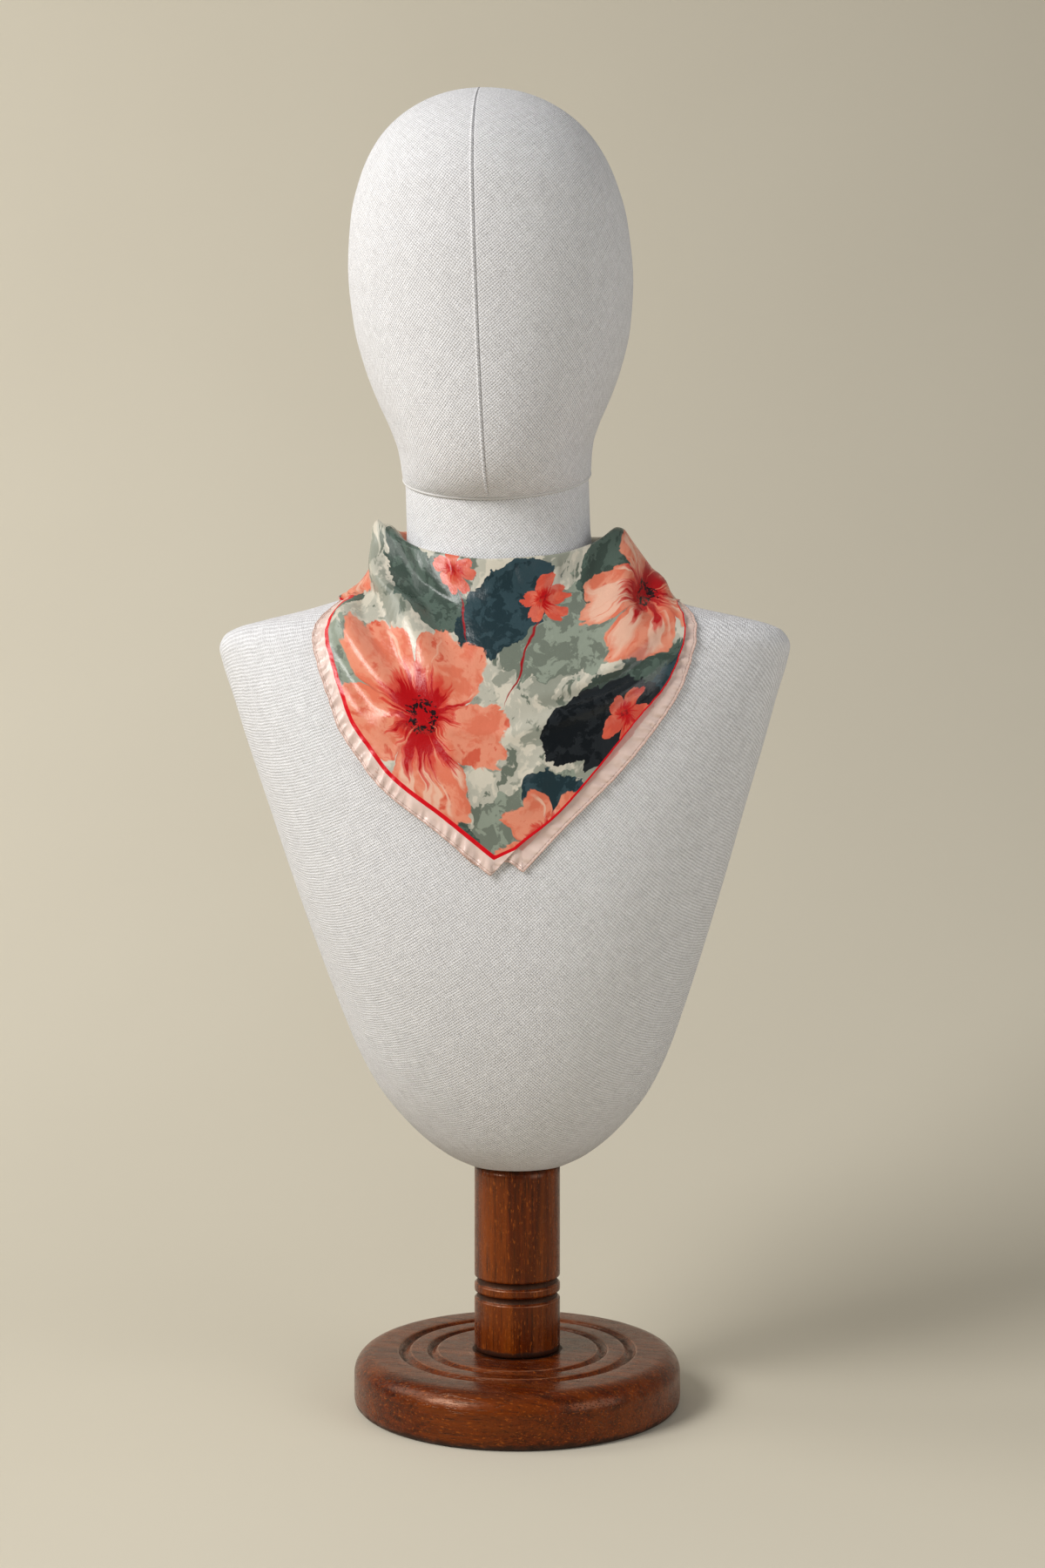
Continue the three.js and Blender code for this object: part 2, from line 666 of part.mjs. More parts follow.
const model = new THREE.Group();
model.add(stand, form, scarf);

export default model;
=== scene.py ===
from math import cos, pi, radians, sin, tan

import bpy
import numpy as np
from numpy.linalg import norm
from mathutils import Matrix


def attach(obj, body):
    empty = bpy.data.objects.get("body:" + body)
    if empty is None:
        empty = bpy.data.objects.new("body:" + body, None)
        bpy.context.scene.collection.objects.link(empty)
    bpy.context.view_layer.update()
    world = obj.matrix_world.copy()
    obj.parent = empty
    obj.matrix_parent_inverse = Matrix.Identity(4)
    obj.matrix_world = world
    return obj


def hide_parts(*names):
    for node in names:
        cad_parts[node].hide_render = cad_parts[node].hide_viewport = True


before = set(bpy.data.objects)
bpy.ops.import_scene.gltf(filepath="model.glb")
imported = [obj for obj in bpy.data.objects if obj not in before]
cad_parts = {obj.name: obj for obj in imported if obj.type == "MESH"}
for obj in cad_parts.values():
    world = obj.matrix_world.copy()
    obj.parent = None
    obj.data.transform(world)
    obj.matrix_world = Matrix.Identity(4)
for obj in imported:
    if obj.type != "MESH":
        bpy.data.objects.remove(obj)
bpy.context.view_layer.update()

# The stand's base: a turned disc of stained and varnished hardwood with two grooves in its top.
# Dirt has settled in the grooves, and their lips and the rim are worn paler.

MM = 0.001  # pieces are worked out in millimetres and built in metres


def srgb(red, green, blue):
    """A colour read off, 0 to 255, as the linear colour that a shader takes."""
    parts = (red / 255, green / 255, blue / 255)
    return (*(c / 12.92 if c <= 0.04045 else ((c + 0.055) / 1.055) ** 2.4 for c in parts), 1.0)


def build_piece(name, points, faces, maps=None):
    """A smooth-shaded object from points in mm; maps has each UV map's name and two numbers a point."""
    mesh = bpy.data.meshes.new(name)
    mesh.from_pydata((np.asarray(points, float).reshape(-1, 3) * MM).tolist(), [], faces)
    mesh.polygons.foreach_set("use_smooth", [True] * len(mesh.polygons))
    corner_points = np.empty(len(mesh.loops), dtype=np.int32)
    mesh.loops.foreach_get("vertex_index", corner_points)
    for map_name, values in (maps or {}).items():
        layer = mesh.uv_layers.new(name=map_name)
        values = np.asarray(values, dtype=np.float32).reshape(-1, 2)
        layer.data.foreach_set("uv", values[corner_points].ravel())
    mesh.update()
    piece = bpy.data.objects.new(name, mesh)
    bpy.context.collection.objects.link(piece)
    return piece


def wrap_faces(rings, around, closed=True):
    """Quads over points that lie ring after ring."""
    last = around if closed else around - 1
    across = [(i, (i + 1) % around) for i in range(last)]
    starts = range(0, (rings - 1) * around, around)
    return [(j + a, j + b, j + around + b, j + around + a) for j in starts for a, b in across]


def turn_piece(name, profile, around=144):
    """A turned piece: profile rows are radius, height and age, where 1 is dirt and -1 is wear."""
    profile = np.array(profile, float)
    angles = np.linspace(0, 2 * pi, around, endpoint=False)
    inner = profile[1:-1]
    points = [(r * sin(a), -r * cos(a), z) for r, z, age in inner for a in angles]
    ages = [(0.0, age) for r, z, age in inner for a in angles]
    faces = wrap_faces(len(inner), around)
    for end, ring in ((0, 0), (-1, len(inner) - 1)):
        points.append((0, 0, profile[end][1]))
        ages.append((0.0, profile[end][2]))
        hub = len(points) - 1
        edge = [(hub, ring * around + (i + 1) % around, ring * around + i) for i in range(around)]
        faces += edge if end == 0 else [face[::-1] for face in edge]
    return build_piece(name, points, faces, {"age": ages})


def round_corner(centre_r, centre_z, radius, first, last, steps, age=0.0):
    """Profile rows along a rounded edge, angles in degrees from level."""
    turns = np.radians(np.linspace(first, last, steps + 1))
    return [(centre_r + radius * cos(t), centre_z + radius * sin(t), age) for t in turns]


def top_groove(outer, inner, top):
    """Profile rows of one groove in the top of the base, from its outer lip inwards."""
    deep = 2.4
    return [
        (outer + 0.9, top, -0.3), (outer, top - 0.15, -1.0), (outer - 0.6, top - 0.9, -0.1),
        (outer - 1.4, top - 1.9, 0.5), (outer - 2.4, top - deep, 0.75), (inner + 3.0, top - deep, 0.55),
        (inner + 1.7, top - 1.6, 0.3), (inner + 0.6, top - 0.5, -0.3), (inner, top - 0.05, -1.0),
        (inner - 0.9, top, -0.3),
    ]


base_radius, base_height, base_round = 88.5, 28.0, 11.0
base_profile = [
    (0, 0, 0.6), (84.5, 0, 0.8), (86.8, 0.6, 0.9), (88.0, 2.0, 0.75), (base_radius - 0.1, 3.6, 0.5),
    (base_radius, 4.6, -0.45), (base_radius, 6.0, 0.0), (base_radius, 12.0, 0.0),
    *round_corner(base_radius - base_round, base_height - base_round, base_round, 0, 90, 14),
    (70.0, base_height, 0.0),
    *top_groove(64.8, 58.0, base_height),
    (54.0, base_height, 0.0),
    *top_groove(49.3, 43.4, base_height),
    (36.0, base_height, 0.0), (27.0, base_height, -0.6), (25.2, base_height, -0.3),
    (24.3, base_height, 0.8), (0, base_height, 1.0),
]
base = turn_piece("turned_base", base_profile)


class Value:
    """What a shader works out. Arithmetic on a number adds Math nodes to its tree."""

    def __init__(self, tree, socket):
        self.tree, self.socket = tree, socket

    def math(self, operation, *others, clamp=False):
        return add(self.tree, "ShaderNodeMath", (self, *others), operation=operation, use_clamp=clamp)

    def __add__(self, other):
        return self.math("ADD", other)

    def __sub__(self, other):
        return self.math("SUBTRACT", other)

    def __rsub__(self, other):
        return add(self.tree, "ShaderNodeMath", (other, self), operation="SUBTRACT")

    def __mul__(self, other):
        return self.math("MULTIPLY", other)

    def __truediv__(self, other):
        return self.math("DIVIDE", other)

    def __abs__(self):
        return self.math("ABSOLUTE")

    __radd__, __rmul__ = __add__, __mul__


def fill(tree, socket, value):
    """A number, a colour or a link on one socket."""
    if isinstance(value, Value):
        tree.links.new(value.socket, socket)
    else:
        socket.default_value = value


def add(tree, kind, values=(), out=0, **settings):
    """One output of a new shader node, with settings on the node and values on its sockets."""
    node = tree.nodes.new(kind)
    for setting, value in settings.items():
        setattr(node, setting, value)
    for socket, value in values.items() if isinstance(values, dict) else enumerate(values):
        fill(tree, node.inputs[socket], value)
    return Value(tree, node.outputs[out])


def tint(amount, under, over, way="MIX"):
    """One colour laid over another."""
    tree = next(value.tree for value in (amount, under, over) if isinstance(value, Value))
    return add(tree, "ShaderNodeMix", {0: amount, 6: under, 7: over}, 2, data_type="RGBA", blend_type=way)


def noise(vector, scale, detail=2.0, rough=0.5, swirl=0.0, out="Fac"):
    """Soft noise from 0 to 1."""
    values = {"Vector": vector, "Scale": scale, "Detail": detail, "Roughness": rough, "Distortion": swirl}
    return add(vector.tree, "ShaderNodeTexNoise", values, out)


def step(value, edge, soft):
    """0 below an edge and 1 above it, over a soft width."""
    return (value - edge).math("DIVIDE", soft, clamp=True)


def place(vector, scale, turn=(0, 0, 0)):
    """Coordinates turned and scaled."""
    return add(vector.tree, "ShaderNodeMapping", {"Vector": vector, "Scale": scale, "Rotation": turn})


def named_map(tree, name):
    """Coordinates from one of the piece's own maps."""
    return add(tree, "ShaderNodeUVMap", uv_map=name)


def split(vector):
    """The three numbers of a vector."""
    node = add(vector.tree, "ShaderNodeSeparateXYZ", (vector,)).socket.node
    return [Value(vector.tree, part) for part in node.outputs]


def shader_group(name, work_out, vector=None, **numbers):
    """A shader group: work_out takes its inputs, first a vector if it has one, and names its results."""
    tree = bpy.data.node_groups.new(name, "ShaderNodeTree")
    if vector:
        tree.interface.new_socket(vector, in_out="INPUT", socket_type="NodeSocketVector")
    for socket, default in numbers.items():
        made = tree.interface.new_socket(socket, in_out="INPUT", socket_type="NodeSocketFloat")
        made.default_value = default
    sockets = tree.nodes.new("NodeGroupInput").outputs
    results = work_out(**{socket.name.lower(): Value(tree, socket) for socket in sockets if socket.name})
    for socket in results:
        kind = "NodeSocketColor" if socket == "Color" else "NodeSocketFloat"
        tree.interface.new_socket(socket, in_out="OUTPUT", socket_type=kind)
    ends = tree.nodes.new("NodeGroupOutput").inputs
    for socket, result in results.items():
        fill(tree, ends[socket], result)
    return tree


def use_group(tree, group, **values):
    """A group's named results where it is placed in a material."""
    node = tree.nodes.new("ShaderNodeGroup")
    node.node_tree = group
    for socket, value in values.items():
        fill(tree, node.inputs[socket], value)
    return {result.name: Value(tree, result) for result in node.outputs}


def new_finish(name, roughness, specular=0.5, **constants):
    """A material and its tree; its even values are set on the Principled shader itself."""
    finish = bpy.data.materials.new(name)
    finish.use_nodes = True
    shader = finish.node_tree.nodes["Principled BSDF"]
    constants = {"Roughness": roughness, "Specular_IOR_Level": specular, **constants}
    for socket, value in constants.items():
        shader.inputs[socket.replace("_", " ")].default_value = value
    return finish, finish.node_tree


def surface(tree, color, height=None, strength=1.0, distance=0.001, roughness=None):
    """Colour on a material's shader, and relief and roughness where they vary."""
    shader = tree.nodes["Principled BSDF"]
    fill(tree, shader.inputs["Base Color"], color)
    if height is not None:
        relief = add(tree, "ShaderNodeBump", {"Height": height, "Strength": strength, "Distance": distance})
        fill(tree, shader.inputs["Normal"], relief)
    if roughness is not None:
        fill(tree, shader.inputs["Roughness"], roughness)


def hardwood(vector, age, warmth):
    """Stained hardwood with its grain along X: long streaks, short pale flecks and cloudy stain."""
    grain = noise(place(vector, (11, 420, 420)), 1.0, 5.0, 0.65, 0.6)
    board = noise(place(vector, (5, 75, 75)), 1.0, 3.0, 0.55)
    cloud = noise(place(vector, (22, 60, 60)), 1.0, 4.0, 0.65)
    fleck = step(noise(place(vector, (300, 1100, 1100)), 1.0), 0.61, 0.06)
    pore = step(noise(place(vector, (70, 1300, 1300)), 1.0), 0.57, 0.1)
    stain = tint(step(grain, 0.34, 0.32), srgb(44, 10, 1), srgb(100, 36, 3))
    stain = tint(step(cloud, 0.5, 0.2) * 0.65, stain, srgb(62, 16, 3))
    stain = tint(warmth * step(board, 0.44, 0.22), stain, srgb(128, 58, 8))
    stain = tint(fleck * 0.6, stain, srgb(158, 80, 22))
    stain = tint(pore * 0.6, stain, srgb(26, 9, 4))
    patchy = noise(vector, 150.0, 3.0, 0.6)
    ragged_age = age + patchy * 1.1 - 0.55
    dirt = step(ragged_age, 0.4, 0.4)
    wear = step(ragged_age * -1.0, 0.5, 0.4)
    stain = tint(wear * 0.6, stain, srgb(140, 92, 66))
    stain = tint(dirt * 0.85, stain, srgb(24, 12, 9))
    dull = dirt * 0.3 + patchy * 0.2 + 0.16
    return {"Color": stain, "Roughness": dull, "Height": patchy * 0.9 - pore * 0.5}


wood_group = shader_group("stained hardwood", hardwood, "Vector", Age=0.0, Warmth=0.5)


def varnish(name, turn, warmth):
    """Stained hardwood under varnish; turn lays the grain along the piece."""
    finish, tree = new_finish(name, 0.3, 0.44, Specular_Tint=srgb(255, 208, 176))
    where = place(add(tree, "ShaderNodeTexCoord", out="Object"), (1, 1, 1), turn)
    age = split(named_map(tree, "age"))[1]
    wood = use_group(tree, wood_group, Vector=where, Age=age, Warmth=warmth)
    surface(tree, wood["Color"], wood["Height"], 0.35, 0.0006, wood["Roughness"])
    return finish


base.data.materials.append(varnish("varnished base wood", (0, 0, radians(12)), 0.42))
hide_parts("stand_base")
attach(base, "root")

# The post: one turned length of the same hardwood, doweled into the base and up into the bust,
# with two grooves cut a third of the way up. Its grain runs upright.
post_radius, post_bottom, post_top = 23.3, base_height + 0.35, 129.0


def post_groove(z):
    """Profile rows of one groove round the post, from below upwards."""
    depth_height_age = [
        (0, -3.0, -0.1), (0.05, -2.3, -0.9), (0.7, -1.8, 0.2), (1.5, -1.0, 0.9),
        (1.6, 0.9, 1.0), (0.8, 1.7, 0.8), (0.05, 2.2, -0.6), (0, 2.9, 0.0),
    ]
    return [(post_radius - depth, z + height, age) for depth, height, age in depth_height_age]


post_profile = [
    (0, post_bottom, 1.0), (post_radius - 0.8, post_bottom, 1.0), (post_radius, post_bottom + 1.2, 1.0),
    (post_radius, post_bottom + 2.6, 0.8), (post_radius, post_bottom + 4.4, 0.1), (post_radius, 44.0, 0.0),
    *post_groove(58.4),
    *post_groove(66.4),
    (post_radius, 84.0, 0.0), (post_radius, 108.0, 0.0), (post_radius, 124.0, 0.1),
    (post_radius - 0.1, post_top, 0.7), (0, post_top, 0.7),
]
post = turn_piece("turned_post", post_profile, 96)
post.data.materials.append(varnish("varnished post wood", (0, radians(90), 0), 0.9))
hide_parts("stand_post")
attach(post, "root")

# The bust: a padded shape with a short neck under a close cover of pale linen, which closes over a
# flat bottom where the post goes in. Level sections give its shape, as radius round the axis; the
# whole form leans a little to its right-hand side.

# z, half-width, depth to the front, depth to the back, fullness across, fullness along, front dip
bust_sections = np.array([
    (504, 50, 50, 50, 2, 2, 0.39), (492, 50, 50, 50, 2, 2, 0.3), (478, 50, 50, 50, 2, 2, 0.18),
    (466, 50.6, 50.4, 50.6, 2, 2, 0.08), (456, 53.5, 51.4, 51.8, 2, 2, 0),
    (447, 63, 53, 53.4, 1.75, 2, 0), (438, 82, 55.4, 55, 1.5, 2, 0), (430.5, 107, 58.4, 57, 1.4, 2, 0),
    (425, 131, 61.2, 59, 1.45, 2, 0), (421, 146, 63.4, 60.4, 1.55, 2, 0),
    (417, 153, 65.6, 61.8, 1.65, 2, 0), (410, 156, 69, 63.8, 1.85, 2, 0), (401, 154, 73, 66, 2, 2, 0),
    (383, 148, 79.6, 69, 2.2, 2.1, 0), (360, 141, 85.4, 71, 2.25, 2.15, 0),
    (326, 130, 90, 72, 2.25, 2.2, 0), (288, 118, 91, 70, 2.2, 2.2, 0),
    (250, 105.5, 88, 66, 2.15, 2.15, 0), (217, 94, 81, 60, 2.1, 2.1, 0),
    (190, 83.5, 72, 55, 2.1, 2.1, 0), (170, 73, 63, 49.5, 2.05, 2.05, 0),
    (154, 60.5, 53.5, 43.5, 2, 2, 0), (142, 48, 44, 37.5, 2, 2, 0), (134, 36.5, 34.5, 31.5, 2, 2, 0),
    (130.4, 29, 28.4, 27.6, 2, 2, 0), (129.35, 26.5, 26.2, 26, 2, 2, 0),
])
form_bottom = 129.35
form_lean = tan(radians(1.7))


def curve(t, start, leave, stop, arrive):
    """Places along a smooth curve between two ends with given directions."""
    return (
        (2 * t**3 - 3 * t**2 + 1) * start
        + (t**3 - 2 * t**2 + t) * leave
        + (3 * t**2 - 2 * t**3) * stop
        + (t**3 - t**2) * arrive
    )


def unit(vectors):
    """Vectors of length one."""
    return vectors / np.maximum(norm(vectors, axis=-1, keepdims=True), 1e-9)


def run_along(line):
    """How far each point of a line lies from its start."""
    return np.concatenate([[0], np.cumsum(norm(np.diff(line, axis=0), axis=1))])


def smooth_read(rows_at, rows, at):
    """Columns of a table read between its rows, along a smooth curve that never overshoots them."""
    rows_at, rows, at = np.asarray(rows_at, float), np.asarray(rows, float), np.asarray(at, float)
    rows = rows.reshape(len(rows_at), -1)
    slopes = np.diff(rows, axis=0) / np.diff(rows_at)[:, None]
    tangents = np.vstack([slopes[:1], slopes[:-1], slopes[-1:]])[: len(rows)]
    before, after = slopes[:-1], slopes[1:]
    same = before * after > 0
    tangents[1:-1] = np.where(same, 2 * before * after / np.where(same, before + after, 1), 0)
    tangents[-1] = slopes[-1]
    at = np.clip(at, rows_at[0], rows_at[-1])
    k = np.clip(np.searchsorted(rows_at, at, side="right") - 1, 0, len(rows_at) - 2)
    gap = (rows_at[k + 1] - rows_at[k])[:, None]
    t = (at - rows_at[k])[:, None] / gap
    return curve(t, rows[k], gap * tangents[k], rows[k + 1], gap * tangents[k + 1])


def section_radius(row, phi):
    """Radius of level sections in directions phi: 0 is the front, 90 degrees the viewer's right."""
    side, front, back, across, along = (row[..., c] for c in range(1, 6))
    x = np.abs(np.sin(phi)) / side
    y = np.abs(np.cos(phi)) / np.where(np.cos(phi) > 0, front, back)
    radius = 1 / np.hypot(x, y)
    for _ in range(8):
        a, b = (radius * x) ** across, (radius * y) ** along
        radius = radius - radius * (a + b - 1) / (across * a + along * b)
    return radius


def on_form(phi, radius, z):
    """Points round the leaning axis."""
    phi, radius, z = np.broadcast_arrays(phi, radius, z)
    x = radius * np.sin(phi) - form_lean * (z - form_bottom)
    return np.stack([x, -radius * np.cos(phi), z], axis=-1)


def lengths_along(grid, way):
    """How far the points of a grid lie from its first row or column."""
    steps = np.cumsum(norm(np.diff(grid, axis=way), axis=2), axis=way)
    return np.concatenate([np.zeros_like(np.take(steps, [0], axis=way)), steps], axis=way)


def cover_points(sections, rings, phi):
    """A cover's points ring by ring downwards or upwards, with its thread coordinates in cm."""
    rows = smooth_read(np.arange(len(sections)), sections, np.linspace(0, len(sections) - 1, rings))
    grid_phi = np.broadcast_to(phi, (rings, len(phi)))
    radius = section_radius(rows[:, None, :], grid_phi)
    z = rows[:, None, 0] - rows[:, None, 6] * radius * np.cos(grid_phi)
    points = on_form(grid_phi, radius, z)
    around = lengths_along(points, 1)
    around = around - around[:, len(phi) // 2][:, None]
    return points, np.stack([around * 0.1, lengths_along(points, 0) * 0.1], axis=-1)


bust_around, bust_rings = 192, 150
bust_phi = np.linspace(-pi, pi, bust_around + 1)
bust_points, bust_threads = cover_points(bust_sections, bust_rings, bust_phi)


def close_cover(name, points, threads):
    """A cover from its rings of points, seamed at the back, with a flat cap over each end."""
    rings, around = points.shape[:2]
    rising = points[-1, 0, 2] > points[0, 0, 2]
    faces = wrap_faces(rings, around, closed=False)
    if not rising:
        faces = [face[::-1] for face in faces]
    flat_points, flat_threads = list(points.reshape(-1, 3)), list(threads.reshape(-1, 2))
    for ring in (0, rings - 1):
        flat_points.append(points[ring, :-1].mean(axis=0))
        flat_threads.append(threads[ring].mean(axis=0))
        hub, start = len(flat_points) - 1, ring * around
        cap = [(hub, start + i, start + i + 1) for i in range(around - 1)]
        faces += cap if (ring > 0) == rising else [face[::-1] for face in cap]
    return build_piece(name, flat_points, faces, {"threads": flat_threads})


bust = close_cover("bust_cover", bust_points, bust_threads)


def linen_weave(threads, pitch, turn):
    """Plain-woven linen: two sets of uneven threads, over and under, with slubs."""
    tree = threads.tree
    turned = add(tree, "ShaderNodeVectorRotate", {"Vector": threads, "Angle": turn}, rotation_type="Z_AXIS")
    wander = noise(threads, 1.3, 3.0, 0.6) * 0.12 + noise(threads, 8.0, 2.0, 0.6) * 0.045
    wavy = add(tree, "ShaderNodeVectorMath", (turned, wander), operation="ADD")
    warp, weft = ((part / pitch * pi).math("SINE") for part in split(wavy)[:2])
    over = warp * weft
    leading = step(noise(threads, 0.9, 3.0, 0.6), 0.34, 0.3)
    warp_up = abs(warp) * (over * 0.3 + leading * 0.24 + 0.62)
    weft_up = abs(weft) * (over * -0.3 + leading * -0.24 + 0.82)
    woven = warp_up.math("MAXIMUM", weft_up)
    slub_warp = noise(place(wavy, (8.0, 0.9, 1.0)), 1.0, 3.0, 0.65)
    slub_weft = noise(place(wavy, (0.9, 8.0, 1.0)), 1.0, 3.0, 0.65)
    slub = (slub_warp + slub_weft) * 0.5
    fuzz = noise(threads, 16.0, 4.0, 0.75)
    shade = (woven * 0.8 + slub + fuzz * 0.8).math("SUBTRACT", 0.72, clamp=True)
    color = tint(shade, srgb(152, 149, 148), srgb(246, 246, 248))
    return {"Color": color, "Height": woven + slub * 1.3 + fuzz * 0.7}


linen_group = shader_group("linen weave", linen_weave, "Threads", Pitch=0.12, Turn=0.0)


def linen_finish(name, pitch, turn):
    """Matt linen with its threads at an angle to the piece's own lines; pitch in cm."""
    finish, tree = new_finish(name, 0.92, 0.15)
    threads = named_map(tree, "threads")
    linen = use_group(tree, linen_group, Threads=threads, Pitch=pitch, Turn=radians(turn))
    surface(tree, linen["Color"], linen["Height"], 0.7, 0.0007)
    return finish


bust.data.materials.append(linen_finish("bust linen", 0.125, 38))
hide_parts("bust_form")
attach(bust, "root")

# The head: a featureless padded oval in two bias-cut linen halves. The seam down the middle of its
# front and over the crown stands up as a narrow welt, and it is sewn to the neck along a tilted line.
head_sections = np.array([
    (504.35, 51.2, 51.4, 51.2, 2, 2, 0.39), (507.5, 51.6, 56.5, 52.6, 2, 2, 0.38),
    (513, 52, 63, 55.6, 2, 2, 0.36), (521, 53.2, 69.5, 61, 2, 2, 0.32),
    (531, 56.7, 74.5, 68, 2, 2, 0.27), (545, 63.2, 79, 77, 2, 2, 0.2),
    (562, 69.6, 82.6, 85.6, 2, 2, 0.13), (585, 75.2, 86, 93, 2, 2, 0.06),
    (612, 77.4, 88.6, 96, 2, 2, 0.02), (639, 75.4, 87.4, 92.6, 2, 2, 0), (661, 70, 81, 83.4, 2, 2, 0),
    (680, 61, 68.6, 69, 2, 2, 0), (694.4, 48, 52, 52, 2, 2, 0), (704, 32, 34, 34, 2, 2, 0),
    (708.6, 15.6, 16, 16, 2, 2, 0), (710.2, 0.6, 0.6, 0.6, 2, 2, 0),
])
head_reach = 75  # about the head's radius, which turns mm beside the seam into angles
seam_steps = np.array([0, 0.2, 0.4, 0.6, 0.8, 1.1, 1.5, 2.2, 3.2, 4.6]) / head_reach
between = np.linspace(seam_steps[-1], pi - seam_steps[-1], 74)
front_half = np.concatenate([seam_steps[:-1], between, pi - seam_steps[-2::-1]])
head_phi = np.concatenate([-front_half[::-1][:-1], front_half])
head_rings, head_crown = 150, 710
head_points, head_threads = cover_points(head_sections, head_rings, head_phi)
head_threads[..., 0] = np.abs(head_threads[..., 0])
beside_seam = np.sign(head_phi) * np.minimum(np.abs(head_phi), pi - np.abs(head_phi)) * head_reach
welt_height = 0.7 * np.exp(-(((beside_seam + 0.3) / 0.5) ** 2))
welt_height = welt_height - 0.75 * np.exp(-(((beside_seam - 0.65) / 0.4) ** 2))
outward = unit(head_points - on_form(0, 0, head_points[..., 2]))
fade = np.clip((head_crown - head_points[:, 0, 2]) / 6, 0, 1) * np.clip(np.linspace(0, 30, head_rings), 0, 1)
head_points = head_points + outward * welt_height[None, :, None] * fade[:, None, None]
head = close_cover("head_cover", head_points, head_threads)
head.data.materials.append(linen_finish("head linen", 0.13, 52))
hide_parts("head_form")
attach(head, "root")

# The neck seam: the head's cover is turned under and slip-stitched to the neck with white thread
# along a tilted line, which stands up as a thin rolled edge.


def tube(name, points, maps, closed=False):
    """A closed skin over rings of points, joined up into a loop or flat at both ends."""
    rings, around = points.shape[:2]
    faces, last = wrap_faces(rings, around), (rings - 1) * around
    if closed:
        faces += [(last + i, last + (i + 1) % around, (i + 1) % around, i) for i in range(around)]
    else:
        faces += [tuple(range(around))[::-1], tuple(range(last, last + around))]
    return build_piece(name, points, faces, maps)


def sweep(name, path, radius, closed=True):
    """A thin round roll along a path in mm, with its length and turn as its map in cm."""
    if closed:
        ahead, behind = np.roll(path, -1, axis=0), np.roll(path, 1, axis=0)
    else:
        ahead, behind = np.vstack([path[1:], path[-1:]]), np.vstack([path[:1], path[:-1]])
    along = unit(ahead - behind)
    side = unit(np.cross(along, (0.0, 0.0, 1.0)))
    up = np.cross(side, along)
    turns = np.linspace(0, 2 * pi, 8, endpoint=False)
    ring = np.cos(turns)[None, :, None] * side[:, None, :] + np.sin(turns)[None, :, None] * up[:, None, :]
    points = path[:, None, :] + ring * radius[:, None, None]
    run = np.stack(np.broadcast_arrays(run_along(path)[:, None] * 0.1, turns[None, :] * 0.02), axis=-1)
    return tube(name, points, {"threads": run}, closed)


seam_phi = np.linspace(-pi, pi, 420, endpoint=False)
seam_radius, seam_z, seam_tilt = 50.9, 503.75, 0.39
seam_path = on_form(seam_phi, seam_radius, seam_z - seam_tilt * seam_radius * np.cos(seam_phi))
seam_stitch = 0.6 + 0.14 * np.abs(np.sin(seam_phi * 70))
neck_seam = sweep("neck_seam_roll", seam_path, seam_stitch)
thread_finish, thread_tree = new_finish("white linen thread", 0.7, 0.3)
thread_mix = noise(place(named_map(thread_tree, "threads"), (1.0, 9.0, 1.0)), 14.0, 3.0, 0.6)
surface(thread_tree, tint(thread_mix, srgb(176, 174, 172), srgb(238, 237, 235)), thread_mix, 0.5, 0.0004)
neck_seam.data.materials.append(thread_finish)
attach(neck_seam, "root")

# The silk square's inner layer: one triangle of the square folded on its diagonal. It lies on the
# form, and its pale border shows beyond the outer layer on the viewer's right.

# How far the hem reaches down the form from neck_foot: degrees round the form, mm along it
neck_foot = 470.0
under_hem = np.array([
    (-112, 48), (-90, 49.5), (-80, 51), (-69, 54), (-60, 80), (-50, 105), (-46, 118), (-34, 142),
    (-17, 163), (-8, 178), (-4, 182), (5, 180), (10, 185.5), (23, 165), (40, 141), (51, 123), (56, 114),
    (62, 100), (66.5, 89), (74, 74), (82, 65.5), (92, 61), (112, 50),
])
upper_hem = np.array([
    (-167, 23), (-145, 34), (-120, 47), (-106, 51), (-90, 53), (-80, 54.5), (-69, 58), (-64, 72), (-60, 86),
    (-55, 98), (-50, 111), (-46, 124), (-40, 136), (-34, 147), (-17, 166), (0, 187), (9, 173), (20, 160),
    (33, 139), (45, 119), (54, 107), (61, 93), (66.5, 80), (72, 70.5), (80, 65.5), (88, 64.6), (94, 62.2),
    (106, 56.5), (120, 48), (145, 34), (167, 23),
])
# The neck edge: degrees, how far off the neck, crest height, roll radius, where the outer layer
# leaves the form, how far it slants out below the crest in degrees, and how straight it bridges
neck_edge = np.array([
    (-167, 0.6, 473, 1.5, 14, 5, 0), (-145, 2.6, 481, 2, 22, 6, 0.2), (-125, 4.6, 478.5, 2.4, 34, 4, 0.4),
    (-108, 6.4, 476, 3.2, 46, 0, 0.5), (-95, 7, 478.3, 4, 52, -5, 0.5), (-80, 6.2, 476.6, 4, 54, -5, 0.5),
    (-62, 2.6, 467, 3, 48, 10, 0.3), (-45, 1, 460.5, 2.2, 47, 13, 0.1), (-32, 0.8, 457, 1.7, 46, 14, 0),
    (0, 0.3, 452, 1.5, 44, 12, 0), (32, 0.8, 454.5, 1.7, 46, 16, 0), (60, 3.6, 462, 2.6, 54, 28, 0.6),
    (80, 10.6, 471, 3.4, 64, 36, 1), (95, 12.2, 473, 3.4, 64, 36, 1), (110, 9, 472.6, 3.2, 58, 28, 0.9),
    (125, 5.6, 473.6, 2.6, 44, 16, 0.5), (145, 3, 476.4, 2, 26, 6, 0.2), (167, 0.6, 473, 1.5, 14, 5, 0),
])

